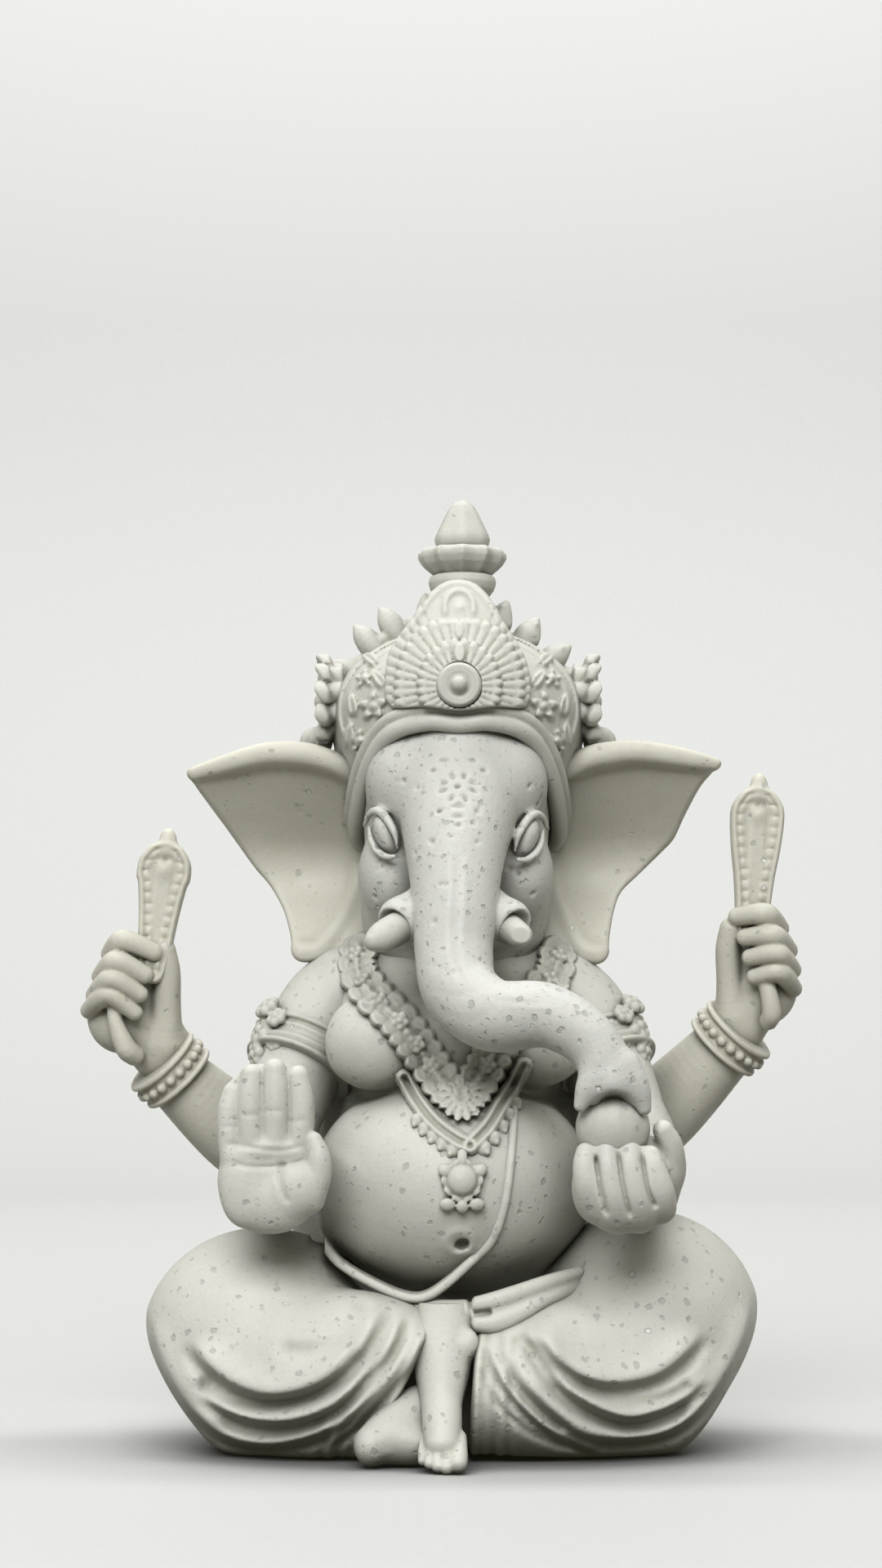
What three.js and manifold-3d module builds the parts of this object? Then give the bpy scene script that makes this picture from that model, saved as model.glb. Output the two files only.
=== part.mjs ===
// A seated, four-armed, elephant-headed idol, built up from separate cast pieces that are glued together.
// Millimetres, +Z up. The idol faces -Y and rests on its flat underside at Z 0, with the origin in the
// middle of that underside. "Right" and "left" are the idol's own, so its right side is at -X.
import * as THREE from "three";
import { mergeVertices } from "three/addons/utils/BufferGeometryUtils.js";
import Module from "manifold-3d";

const wasm = await Module();
wasm.setup();

// Driving dimensions.
const GLUE_GAP = 0.3; // room for the glue line between two neighbouring pieces
const FLOOR_SIZE = 200; // side of the block that trims the pieces flat at Z 0
const CROWN_X = 0.5; // the crown and its finial stand a little off the body's middle
const CROWN_Y = 2.5;
const FINGER_R = 2.1;
const GRIP_R = 1.9; // radius of a finger that is curled round a handle

// ---------------------------------------------------------------------------------------------------------
// Shapes. Each returns a solid, and grow makes the same shape thicker by that much all round.

const vector = ([x, y, z]) => new THREE.Vector3(x, y, z);

function solidOf(geometry) {
  geometry.deleteAttribute("normal");
  geometry.deleteAttribute("uv");
  const merged = mergeVertices(geometry, 1e-4);
  return new wasm.Manifold(
    new wasm.Mesh({
      numProp: 3,
      vertProperties: new Float32Array(merged.attributes.position.array),
      triVerts: new Uint32Array(merged.index.array),
    }),
  );
}

const joined = (solids) => solids.reduce((all, next) => all.add(next));

function ellipsoid({ at, radii, turn = [0, 0, 0], around = 12, rows = 6 }, grow = 0) {
  const geometry = new THREE.SphereGeometry(1, around, rows);
  const matrix = new THREE.Matrix4().compose(
    vector(at),
    new THREE.Quaternion().setFromEuler(new THREE.Euler(...turn)),
    vector(radii.map((r) => r + grow)),
  );
  // The sphere's poles lie along Y, so it is stood up first.
  return solidOf(geometry.rotateX(Math.PI / 2).applyMatrix4(matrix));
}

// A closed skin over rings of points, ending in a single point at each end.
function loft(rings, firstPole, lastPole) {
  const sides = rings[0].length;
  const points = [firstPole, ...rings.flat(), lastPole];
  const last = points.length - 1;
  const faces = [];
  for (let side = 0; side < sides; side++) {
    const next = (side + 1) % sides;
    faces.push(0, 1 + next, 1 + side);
    faces.push(last, last - sides + side, last - sides + next);
    for (let ring = 0; ring < rings.length - 1; ring++) {
      const a = 1 + ring * sides;
      const b = a + sides;
      faces.push(a + side, a + next, b + next, a + side, b + next, b + side);
    }
  }
  const geometry = new THREE.BufferGeometry().setFromPoints(points);
  geometry.setIndex(faces);
  return solidOf(geometry);
}

// A smooth tapering limb through [x, y, z, radius] points, with round ends.
function limb(path, grow = 0, sides = 8, stepsPerSpan = 2) {
  const line = new THREE.CatmullRomCurve3(path.map(vector));
  const girth = new THREE.CatmullRomCurve3(path.map(([, , , r], i) => new THREE.Vector3(i, r, 0)));
  const steps = (path.length - 1) * stepsPerSpan;
  const capAngles = [Math.PI / 4];
  const side = new THREE.Vector3(0.31, 0.87, 0.38);
  const ringAt = (centre, radius, along) => {
    side.addScaledVector(along, -side.dot(along)).normalize();
    const other = new THREE.Vector3().crossVectors(along, side);
    return Array.from({ length: sides }, (_, i) => {
      const angle = (2 * Math.PI * i) / sides;
      return centre
        .clone()
        .addScaledVector(side, radius * Math.cos(angle))
        .addScaledVector(other, radius * Math.sin(angle));
    });
  };
  const rings = [];
  const start = line.getPoint(0);
  const startAlong = line.getTangent(0);
  const startR = path[0][3] + grow;
  for (const a of capAngles) {
    const centre = start.clone().addScaledVector(startAlong, -startR * Math.sin(a));
    rings.push(ringAt(centre, startR * Math.cos(a), startAlong));
  }
  for (let i = 0; i <= steps; i++) {
    const t = i / steps;
    rings.push(ringAt(line.getPoint(t), girth.getPoint(t).y + grow, line.getTangent(t)));
  }
  const end = line.getPoint(1);
  const endAlong = line.getTangent(1);
  const endR = path[path.length - 1][3] + grow;
  for (const a of [...capAngles].reverse()) {
    const centre = end.clone().addScaledVector(endAlong, endR * Math.sin(a));
    rings.push(ringAt(centre, endR * Math.cos(a), endAlong));
  }
  return loft(
    rings,
    start.clone().addScaledVector(startAlong, -startR),
    end.clone().addScaledVector(endAlong, endR),
  );
}

// A turned shape: its profile is [radius, height] points, its axis starts at at and points along axis.
function turned({ at, axis = [0, 0, 1], profile, around = 12 }, grow = 0) {
  const middle = profile.reduce((sum, [, h]) => sum + h, 0) / profile.length;
  const onAxis = profile[0][0] === 0;
  const inner = Math.min(...profile.map(([r]) => r));
  const outer = Math.max(...profile.map(([r]) => r));
  const points = profile.map(([r, h]) => {
    const outward = onAxis ? (r > 0 ? grow : 0) : r > (inner + outer) / 2 ? grow : -grow;
    return new THREE.Vector2(r + outward, h + Math.sign(h - middle) * grow);
  });
  if (!onAxis) points.push(points[0].clone());
  const geometry = new THREE.LatheGeometry(points, around).rotateX(Math.PI / 2);
  const upright = new THREE.Vector3(0, 0, 1);
  const turn = new THREE.Quaternion().setFromUnitVectors(upright, vector(axis).normalize());
  return solidOf(geometry.applyQuaternion(turn).translate(...at));
}

// A band round a limb, between two radii.
const band = ({ at, axis, inner, outer, height }, grow = 0) =>
  turned(
    {
      at,
      axis,
      profile: [
        [inner, -height / 2],
        [outer, -height / 2],
        [outer, height / 2],
        [inner, height / 2],
      ],
    },
    grow,
  );

// A curved plate: place(u, v) gives its middle surface for u and v from 0 to 1.
function plate({ place, thickness, across, down }, grow = 0) {
  const geometry = new THREE.BoxGeometry(1, 1, 1, across, down, 1);
  const at = geometry.attributes.position;
  const step = 1e-3;
  for (let i = 0; i < at.count; i++) {
    const u = at.getX(i) + 0.5;
    const v = at.getY(i) + 0.5;
    const here = place(u, v);
    const alongU = place(u + step, v).sub(here);
    const alongV = place(u, v + step).sub(here);
    const normal = new THREE.Vector3().crossVectors(alongU, alongV).normalize();
    here.addScaledVector(normal, at.getZ(i) * (thickness + 2 * grow));
    at.setXYZ(i, here.x, here.y, here.z);
  }
  return solidOf(geometry);
}

const spline = (points) => new THREE.CatmullRomCurve3(points.map(vector));

// Everything above Z 0.
const aboveFloor = solidOf(
  new THREE.BoxGeometry(FLOOR_SIZE, FLOOR_SIZE, FLOOR_SIZE).translate(0, 0, FLOOR_SIZE / 2),
);

// ---------------------------------------------------------------------------------------------------------
// Torso, legs and feet.

const TORSO = [
  { at: [-1, -9, 40], radii: [20.5, 24, 18], around: 16, rows: 10 }, // belly
  { at: [0, -1, 62], radii: [20, 19, 13], around: 14, rows: 8 }, // chest
  { at: [-13, -15.5, 63], radii: [7, 6.5, 7.2], around: 10 }, // right breast
  { at: [13, -15.5, 63], radii: [7, 6.5, 7.2], around: 10 }, // left breast
  { at: [0, 8, 46], radii: [22, 17, 30], around: 14, rows: 8 }, // back
  { at: [0, 4, 17], radii: [28, 23, 20], around: 14, rows: 8 }, // seat
  { at: [0, 2, 69], radii: [28, 10, 9] }, // shoulders
];

const torso = (grow) => joined(TORSO.map((lump) => ellipsoid(lump, grow)));

// The Y of the torso's front surface over a point of the X-Z plane.
function torsoFront(x, z) {
  const fronts = TORSO.map(({ at, radii }) => {
    const inside = 1 - ((x - at[0]) / radii[0]) ** 2 - ((z - at[2]) / radii[2]) ** 2;
    return inside > 0 ? at[1] - radii[1] * Math.sqrt(inside) : Infinity;
  });
  return Math.min(...fronts);
}

// A cord or garland that lies on the torso's front, through [x, z] points.
const onTorso = (route, radius, proud) =>
  route.map(([x, z]) => [x, torsoFront(x, z) - proud, z, radius]);

// Each crossed leg is a thigh that runs out to the knee and a shin that comes back in, draped as one mass.
const rightLeg = (grow) =>
  joined([
    limb([[-12, 6, 15, 14], [-22, -4, 17, 15.4], [-32, -11.5, 18, 16]], grow, 14, 1),
    limb([[-30, -18, 12, 13.4], [-8, -30, 9, 9]], grow, 12, 2),
  ]);

const leftLeg = (grow) =>
  joined([
    limb([[12, 6, 15, 14], [21, -4, 18, 15.6], [30.6, -11.5, 19.6, 16.2]], grow, 14, 1),
    limb([[29, -18, 12.5, 13.6], [8, -29.5, 9, 9]], grow, 12, 2),
  ]);

const rightFoot = (grow) =>
  limb([[-1, -33.5, 16.5, 5.4], [-1, -38.5, 10, 4.3], [-1.6, -42, 4.6, 3.9], [-2, -44.5, 2, 2.4]], grow);

const leftFoot = (grow) => limb([[-1, -32, 6.5, 4.6], [-8, -36.5, 5.2, 4.8], [-11.5, -38.5, 4.2, 3.8]], grow);

const waistSash = (grow) =>
  limb([[-20, -17, 24, 3], [-8, -28.5, 21.5, 3.4], [3, -31, 20.8, 3.4], [20, -19, 25, 3]], grow);

// ---------------------------------------------------------------------------------------------------------
// Head, trunk, tusks, eyes and ears.

const head = (grow) =>
  joined([
    ellipsoid({ at: [0, -1, 100], radii: [16, 19.5, 19], around: 16, rows: 10 }, grow),
    ellipsoid({ at: [-8.5, -9, 88], radii: [7.4, 9, 9.5] }, grow),
    ellipsoid({ at: [8.5, -9, 88], radii: [7.4, 9, 9.5] }, grow),
    ellipsoid({ at: [0, -8, 81], radii: [9, 9, 6] }, grow),
    limb([[0, 2, 88, 11.5], [0, 3, 76, 11.5]], grow, 10, 1),
  ]);

const TRUNK_PATH = [
  [0.3, -12, 103, 9.5],
  [0.4, -18, 96, 8.8],
  [-0.2, -24, 86, 6.6],
  [-0.3, -29, 77, 5.8],
  [0.6, -34, 69.5, 5.6],
  [5.5, -38, 65.8, 5.3],
  [13, -40.5, 66, 4.7],
  [19, -42, 62.6, 4],
  [22.3, -43, 57.5, 3.9],
  [22.8, -43, 54.4, 4.4],
];
const trunk = (grow) => limb(TRUNK_PATH, grow, 9);

const rightTusk = (grow) => limb([[-5.5, -22, 79, 3.2], [-11, -27, 77.4, 2.6]], grow);
const leftTusk = (grow) => limb([[5.5, -22, 79.2, 2.8], [9.6, -27, 78.6, 1.2]], grow);

const eye = (side, z) => (grow) =>
  ellipsoid({ at: [side * 10.6, -16.6, z], radii: [2.8, 2.2, 3], around: 10 }, grow);

// An ear is a thin curved plate: its root is hidden in the head, its tip points outwards and its lobe hangs
// over the shoulder.
function ear(root, rim, { arch, bowl, thickness }) {
  const inner = spline(root);
  const outer = spline(rim);
  const place = (u, v) => {
    const point = inner.getPoint(v).lerp(outer.getPoint(v), u);
    point.z += arch * Math.sin(Math.PI * u) * Math.max(0, 1 - v) ** 2;
    point.y += bowl * Math.sin(Math.PI * u) * Math.sin(Math.PI * v);
    return point;
  };
  return (grow) => plate({ place, thickness, across: 5, down: 5 }, grow);
}

const EAR = { arch: 3.4, bowl: 5, thickness: 2.4 };
const rightEar = ear(
  [[-14, -4, 107], [-13, -5, 98], [-14, -6, 88], [-17.5, -7, 77]],
  [[-42.9, 1, 105.2], [-38.6, 1, 96.5], [-31.5, 0, 87.5], [-26.2, -3, 79], [-24.5, -5, 75.8]],
  EAR,
);
const leftEar = ear(
  [[15, -4, 107], [13.5, -5, 98], [14, -6, 88], [16.5, -7, 77.5]],
  [[42.7, 1, 106.5], [36.6, 1, 96.5], [28.5, 0, 87.5], [24.8, -3, 79], [22.6, -5, 75.2]],
  EAR,
);

// ---------------------------------------------------------------------------------------------------------
// Crown and finial.

const DOME = { at: [CROWN_X, 2, 116], radii: [20.5, 22, 18], around: 16, rows: 8 };
const DOME_RIM = { slope: 0.43, z: 102 }; // the dome's open rim rises towards the forehead

function crownDome(grow) {
  const tilt = Math.atan(DOME_RIM.slope);
  const above = solidOf(
    new THREE.BoxGeometry(FLOOR_SIZE, FLOOR_SIZE, FLOOR_SIZE)
      .translate(0, 0, FLOOR_SIZE / 2 - grow)
      .rotateX(-tilt)
      .translate(0, 0, DOME_RIM.z),
  );
  return ellipsoid(DOME, grow).intersect(above);
}

// The rolled rim runs from the back of the head, over the ears and across the forehead, where it dips.
const BAND_R = 2.1;
const BAND_SIDE = [
  [1, 20, 93.5],
  [13, 13.5, 94.5],
  [17, 2, 99],
  [16.6, -7, 105],
  [11, -15.5, 111],
  [4, -19, 111.8],
];
const crownBand = (grow) =>
  limb(
    [
      ...BAND_SIDE.map(([x, y, z]) => [-x, y, z, BAND_R]),
      [CROWN_X, -19.8, 110.6, BAND_R],
      ...[...BAND_SIDE].reverse().map(([x, y, z]) => [x, y, z, BAND_R]),
    ],
    grow,
    6,
    1,
  );

// The front plaque is a pointed fan that follows the dome and stands up above it.
const PLAQUE = { foot: 112.5, top: 134.7, halfWidth: 11.4, thickness: 2.4, front: -21.4, lean: 9.6 };
const crownPlaque = (grow) =>
  plate(
    {
      place: (u, v) => {
        const half = PLAQUE.halfWidth * Math.sqrt(Math.max(0, 1 - v ** 1.8)) + 0.4;
        const x = (2 * u - 1) * half;
        const wrap = x ** 2 / (2 * DOME.radii[0]);
        return new THREE.Vector3(
          CROWN_X + x,
          PLAQUE.front + PLAQUE.lean * v ** 2 + wrap,
          PLAQUE.foot + (PLAQUE.top - PLAQUE.foot) * v,
        );
      },
      thickness: PLAQUE.thickness,
      across: 4,
      down: 5,
    },
    grow,
  );

const crownBoss = (grow) =>
  turned(
    {
      at: [CROWN_X, -20, 116.8],
      axis: [0, -1, 0.12],
      profile: [[0, 0], [3.6, 0], [3.6, 2], [2.6, 2.9], [1.3, 3.2], [1.1, 4.1], [0, 4.6]],
      around: 12,
    },
    grow,
  );

// The crest is a flat ring of pointed leaves behind the dome.
const CREST = { z: 112, y: 7, thickness: 2.4, inner: 16, valley: 20.6, tip: 24.4 };
const CREST_LEAVES = { count: 9, from: 30, to: 150 }; // angles in degrees, up from the idol's left side
function crownCrest() {
  const shape = new THREE.Shape();
  const radian = Math.PI / 180;
  const pitch = (CREST_LEAVES.to - CREST_LEAVES.from) / (CREST_LEAVES.count - 1);
  const first = CREST_LEAVES.from - pitch / 2;
  const polar = (r, degrees) => [r * Math.cos(degrees * radian), r * Math.sin(degrees * radian)];
  shape.moveTo(...polar(CREST.inner, first));
  for (let leaf = 0; leaf < CREST_LEAVES.count; leaf++) {
    const start = first + leaf * pitch;
    shape.lineTo(...polar(CREST.valley, start));
    shape.lineTo(...polar(CREST.tip, start + pitch / 2));
  }
  const end = first + CREST_LEAVES.count * pitch;
  shape.lineTo(...polar(CREST.valley, end));
  shape.absarc(0, 0, CREST.inner, end * radian, first * radian, true);
  const geometry = new THREE.ExtrudeGeometry(shape, {
    depth: CREST.thickness,
    bevelEnabled: false,
    curveSegments: 8,
  });
  return solidOf(geometry.rotateX(Math.PI / 2).translate(CROWN_X, CREST.y + CREST.thickness, CREST.z));
}

const crownRosette = (side) => (grow) =>
  ellipsoid({ at: [CROWN_X + side * 20.6, 0.5, 116.8], radii: [3, 6.5, 8] }, grow);

const crownTassel = (side) => (grow) =>
  ellipsoid({ at: [CROWN_X + side * 23, 5.5, 110.3], radii: [2.8, 2.6, 3.4], around: 8 }, grow);

const finialTier = (grow) =>
  turned(
    {
      at: [CROWN_X, CROWN_Y, 130],
      profile: [[0, 0], [3.8, 0], [4.2, 3.6], [5.8, 6.2], [5.5, 7.2], [4, 7.6], [0, 7.6]],
    },
    grow,
  );
const finialBowl = (grow) =>
  turned(
    {
      at: [CROWN_X, CROWN_Y, 137.9],
      profile: [[0, 0], [4.4, 0], [7.2, 1.8], [7.4, 2.9], [6.2, 3.7], [0, 3.7]],
    },
    grow,
  );
const finialBud = (grow) =>
  turned(
    {
      at: [CROWN_X, CROWN_Y, 141.9],
      profile: [[0, 0], [3.9, 0], [4.6, 1.5], [3.3, 4.1], [1.4, 7.2], [0, 8.1]],
      around: 12,
    },
    grow,
  );

// ---------------------------------------------------------------------------------------------------------
// Front arms: the right hand is raised with its palm to the front, the left hand holds a sweet.

const FRONT = {
  right: {
    upper: [[-23, 1, 67, 8], [-28.5, -5, 57, 7.6], [-31.5, -9, 47, 6.8]],
    fore: [[-31.5, -10, 45, 6.4], [-28.5, -29, 41.5, 4.8]],
  },
  left: {
    upper: [[22.5, 1, 66.5, 8], [28.5, -4, 58, 7.4], [32, -8, 48, 6.6]],
    fore: [[32, -10, 46, 6.2], [28.5, -32, 42, 4.8]],
  },
};

// Fingers that stand up from a palm: [x, z of the tip] each, from one foot height, at one depth.
const upright = (tips, y, footZ, grow) =>
  tips.map(([x, z]) => limb([[x, y, footZ, FINGER_R], [x, y - 0.5, z - FINGER_R, FINGER_R]], grow, 6, 1));

const raisedHand = (grow) =>
  joined([
    ellipsoid({ at: [-27.6, -33.5, 42.4], radii: [8.3, 4.2, 8.6] }, grow),
    ...upright([[-33.4, 56], [-30, 58.6], [-26.4, 59.3], [-22.9, 57.6]], -33.5, 46, grow),
    limb([[-21.6, -34.5, 39, 2.8], [-20.4, -36.5, 43.5, 2.5], [-21.2, -37, 47, 2]], grow, 6),
  ]);

const sweet = (grow) =>
  turned(
    {
      at: [22.8, -41, 41],
      profile: [[0, 0], [3.6, 0.6], [5.8, 3.4], [6.1, 6.4], [4.6, 9.6], [1.6, 12], [0, 12.6]],
      around: 12,
    },
    grow,
  );

const givingHand = (grow) =>
  joined([
    ellipsoid({ at: [24.6, -39.6, 40.6], radii: [7.8, 6.2, 6.6] }, grow),
    ...upright([[18.7, 44.4], [22, 47.2], [25.3, 47.4], [28.4, 45.8]], -44.6, 38, grow),
    limb([[30, -36, 41, 2.8], [31.2, -38, 46.5, 2.3]], grow, 6),
  ]);

// ---------------------------------------------------------------------------------------------------------
// Rear arms: each hand grips a short mace upright.

const REAR = {
  right: {
    upper: [[-17, 13, 64, 8.4], [-24, 15, 52, 7.6], [-29, 14.5, 43.5, 7]],
    fore: [[-29, 14, 43.5, 6.7], [-38.5, 11, 50.5, 6.3], [-45.5, 8, 57, 5.3]],
    palm: [[-47, 7.5, 60.5, 5], [-54.5, 6.5, 66, 6.2], [-52, 6, 73, 5.2]],
    thumb: [[-46.8, 5, 65, 2.6], [-46.6, 4, 71, 2.4], [-48, 1.5, 75, 2]],
    fingers: { outer: [-57, 2.4], inner: [-50.5, -1.4], z: [76.2, 72.9, 69.8, 66.9] },
    handle: [[-51.2, 1.5, 61.5, 1.6], [-49.6, 2.6, 80, 1.9]],
    blade: { foot: [-49.3, 2.6, 77], top: [-46.8, 2.6, 96.8] },
    cuff: { at: [-46, 7.8, 57.8], axis: [-0.66, -0.28, 0.7] },
  },
  left: {
    upper: [[17, 13, 64, 8.4], [24, 15, 54, 7.6], [28, 14.5, 46.5, 7]],
    fore: [[28, 14, 46.5, 6.7], [37.5, 11, 55, 6.2], [44.5, 8, 62.3, 5.3]],
    palm: [[45.6, 7.5, 65.5, 5], [50, 6.5, 72, 5.8], [48.5, 6, 78.6, 5.2]],
    thumb: [[43.8, 5, 70, 2.5], [43.4, 4, 76, 2.3], [44.4, 2, 79.6, 1.9]],
    fingers: { outer: [52.5, 2.4], inner: [46, -1.4], z: [81.4, 78.2, 75.2, 72.4] },
    handle: [[49.8, 1.5, 66.5, 1.6], [47.6, 2.6, 85, 1.9]],
    blade: { foot: [47.4, 2.6, 82], top: [49, 2.6, 105.2] },
    cuff: { at: [44.6, 7.9, 62.9], axis: [0.64, -0.28, 0.71] },
  },
};

// The mace's flat head: a paddle that swells towards the top and ends in a small knob.
const BLADE = { thickness: 3.2, neck: 2.9, shoulder: 4.9, knob: 1.5, shoulderAt: 0.66, domeAt: 0.88 };
function mace({ handle, blade }) {
  const foot = vector(blade.foot);
  const top = vector(blade.top);
  const length = foot.distanceTo(top);
  const shape = new THREE.Shape();
  const side = (sign) => [
    [sign * BLADE.neck, 0],
    [sign * BLADE.shoulder, length * BLADE.shoulderAt],
    [sign * BLADE.shoulder * 0.62, length * BLADE.domeAt],
    [sign * BLADE.knob * 0.6, length - 0.6],
  ];
  const outline = [...side(1), ...side(-1).reverse()];
  shape.moveTo(outline[0][0], outline[0][1]);
  outline.slice(1, 3).forEach(([x, z]) => shape.lineTo(x, z));
  shape.quadraticCurveTo(BLADE.knob, length * 0.92, outline[3][0], outline[3][1]);
  shape.lineTo(outline[4][0], outline[4][1]);
  shape.quadraticCurveTo(-BLADE.knob, length * 0.92, outline[5][0], outline[5][1]);
  outline.slice(6).forEach(([x, z]) => shape.lineTo(x, z));
  return (grow) => {
    const geometry = new THREE.ExtrudeGeometry(shape, {
      depth: BLADE.thickness + 2 * grow,
      bevelEnabled: false,
      curveSegments: 4,
    });
    const turn = new THREE.Quaternion().setFromUnitVectors(
      new THREE.Vector3(0, 0, 1),
      top.clone().sub(foot).normalize(),
    );
    geometry.rotateX(Math.PI / 2).translate(0, (BLADE.thickness + 2 * grow) / 2, 0);
    const widen = 1 + grow / BLADE.neck;
    geometry.scale(widen, 1, 1).applyQuaternion(turn).translate(...foot);
    return solidOf(geometry).add(limb(handle, grow, 8, 1));
  };
}

const fist = ({ palm, thumb, fingers }) => (grow) =>
  joined([
    limb(palm, grow, 8),
    limb(thumb, grow, 6),
    ...fingers.z.map((z, i) => {
      const curl = 1 - 0.08 * i;
      const [outerX, outerY] = fingers.outer;
      const [innerX, innerY] = fingers.inner;
      return limb([[outerX, outerY, z, GRIP_R * curl], [innerX, innerY, z + 0.4, GRIP_R * curl]], grow, 6, 1);
    }),
  ]);

// ---------------------------------------------------------------------------------------------------------
// Ornaments.

const ARMLET = { inner: 7, outer: 9, height: 4.4 };
const armlet = (at, axis, flower) => (grow) =>
  band({ at, axis, ...ARMLET }, grow).add(
    ellipsoid({ at: flower, radii: [2.6, 4.2, 5.4], around: 8 }, grow),
  );
const rightArmlet = armlet([-27.4, -3.6, 59.8], [-0.36, -0.42, -0.84], [-33.4, -4, 63.6]);
const leftArmlet = armlet([27.4, -2.8, 60.2], [0.43, -0.39, -0.8], [33, -3.4, 64]);

const BRACELET = { inner: 4.6, outer: 6.7, height: 3.6 };
const bracelet = ({ cuff }) => (grow) => band({ ...cuff, ...BRACELET }, grow);

const COLLAR_ROUTE = [
  [-17, 75.5],
  [-15.2, 69],
  [-9.6, 62.4],
  [-3, 56.6],
  [1.4, 54.2],
  [5.6, 56.6],
  [11, 62.4],
  [15.2, 69],
  [16, 75],
];
const collar = (grow) => limb(onTorso(COLLAR_ROUTE, 3.6, 0.2), grow, 6, 1);

const NECKLACE_ROUTE = [[-9.5, 57.6], [-6.4, 51], [0.8, 45.4], [7, 51], [10.1, 56.8]];
const longNecklace = (grow) => limb(onTorso(NECKLACE_ROUTE, 1.7, 0.3), grow, 6);

const PENDANT = { x: 1, z: 41, radius: 3.5 };
const pendant = (grow) => {
  const front = torsoFront(PENDANT.x, PENDANT.z);
  return turned(
    {
      at: [PENDANT.x, front + 1.5, PENDANT.z],
      axis: [0, -1, 0],
      profile: [[0, 0], [PENDANT.radius, 0], [PENDANT.radius, 2.6], [2, 3.8], [0, 4.2]],
      around: 12,
    },
    grow,
  ).add(ellipsoid({ at: [PENDANT.x, front, PENDANT.z - 3.4], radii: [3.2, 2, 1.8], around: 8 }, grow));
};

// The thread crosses the belly from the left breast and runs back under its right side.
const THREAD_ROUTE = [[9, 55], [8.2, 48], [7.8, 42], [6, 33], [2.6, 27.4], [-2.5, 25.4], [-9, 26], [-15, 29]];
const sacredThread = (grow) => limb(onTorso(THREAD_ROUTE, 1.1, 0.4), grow, 5);

// ---------------------------------------------------------------------------------------------------------
// Assembly. Pieces are cut in this order: each is cut back by a glue gap from every piece placed before it.

// Marble powder cast in clear resin: greyer where it is thick, creamier where it is thin.
const TONES = { body: 0xd6d6cc, face: 0xcdcfca, thin: 0xdcdaca, ornament: 0xd9d8cd };
const SHEEN = { roughness: 0.42, metalness: 0 };

const onFloor = (shape) => (grow) => shape(grow).intersect(aboveFloor);
const armShape = (path) => (grow) => limb(path, grow, 10);

const PIECES = [
  ["body", "body", "torso", onFloor(torso)],
  ["head", "face", "head", head],
  ["ornaments", "ornament", "sweet", sweet],
  ["arms", "thin", "right_mace", mace(REAR.right)],
  ["arms", "thin", "left_mace", mace(REAR.left)],
  ["head", "face", "trunk", trunk],
  ["body", "body", "right_leg", onFloor(rightLeg)],
  ["body", "body", "left_leg", onFloor(leftLeg)],
  ["body", "body", "right_foot", onFloor(rightFoot)],
  ["body", "body", "left_foot", onFloor(leftFoot)],
  ["arms", "body", "right_front_upper_arm", armShape(FRONT.right.upper)],
  ["arms", "body", "left_front_upper_arm", armShape(FRONT.left.upper)],
  ["arms", "body", "right_front_forearm", (grow) => limb(FRONT.right.fore, grow)],
  ["arms", "body", "left_front_forearm", (grow) => limb(FRONT.left.fore, grow)],
  ["arms", "body", "raised_right_hand", raisedHand],
  ["arms", "body", "giving_left_hand", givingHand],
  ["arms", "thin", "right_rear_upper_arm", armShape(REAR.right.upper)],
  ["arms", "thin", "left_rear_upper_arm", armShape(REAR.left.upper)],
  ["arms", "thin", "right_rear_forearm", armShape(REAR.right.fore)],
  ["arms", "thin", "left_rear_forearm", armShape(REAR.left.fore)],
  ["arms", "thin", "right_rear_hand", fist(REAR.right)],
  ["arms", "thin", "left_rear_hand", fist(REAR.left)],
  ["head", "ornament", "right_tusk", rightTusk],
  ["head", "ornament", "left_tusk", leftTusk],
  ["head", "face", "right_eye", eye(-1, 95)],
  ["head", "face", "left_eye", eye(1, 94.4)],
  ["crown", "ornament", "crown_crest", crownCrest],
  ["crown", "ornament", "crown_dome", crownDome],
  ["crown", "ornament", "crown_band", crownBand],
  ["crown", "ornament", "crown_boss", crownBoss],
  ["crown", "ornament", "crown_plaque", crownPlaque],
  ["crown", "ornament", "finial_tier", finialTier],
  ["crown", "ornament", "finial_bowl", finialBowl],
  ["crown", "ornament", "finial_bud", finialBud],
  ["crown", "ornament", "crown_rosette_right", crownRosette(-1)],
  ["crown", "ornament", "crown_rosette_left", crownRosette(1)],
  ["crown", "ornament", "crown_tassel_right", crownTassel(-1)],
  ["crown", "ornament", "crown_tassel_left", crownTassel(1)],
  ["ornaments", "ornament", "right_armlet", rightArmlet],
  ["ornaments", "ornament", "left_armlet", leftArmlet],
  ["ornaments", "thin", "right_bracelet", bracelet(REAR.right)],
  ["ornaments", "thin", "left_bracelet", bracelet(REAR.left)],
  ["ornaments", "ornament", "pendant", pendant],
  ["ornaments", "ornament", "long_necklace", longNecklace],
  ["ornaments", "body", "sacred_thread", sacredThread],
  ["ornaments", "ornament", "collar_garland", collar],
  ["body", "body", "waist_sash", waistSash],
  ["head", "thin", "right_ear", rightEar],
  ["head", "thin", "left_ear", leftEar],
];

const boxesMeet = (a, b) => [0, 1, 2].every((i) => a.min[i] < b.max[i] && b.min[i] < a.max[i]);

// A cut can leave crumbs behind, so only the largest body is kept.
const larger = (a, b) => (b.volume() > a.volume() ? b : a);
const largest = (solid) => solid.decompose().reduce(larger);

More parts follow.
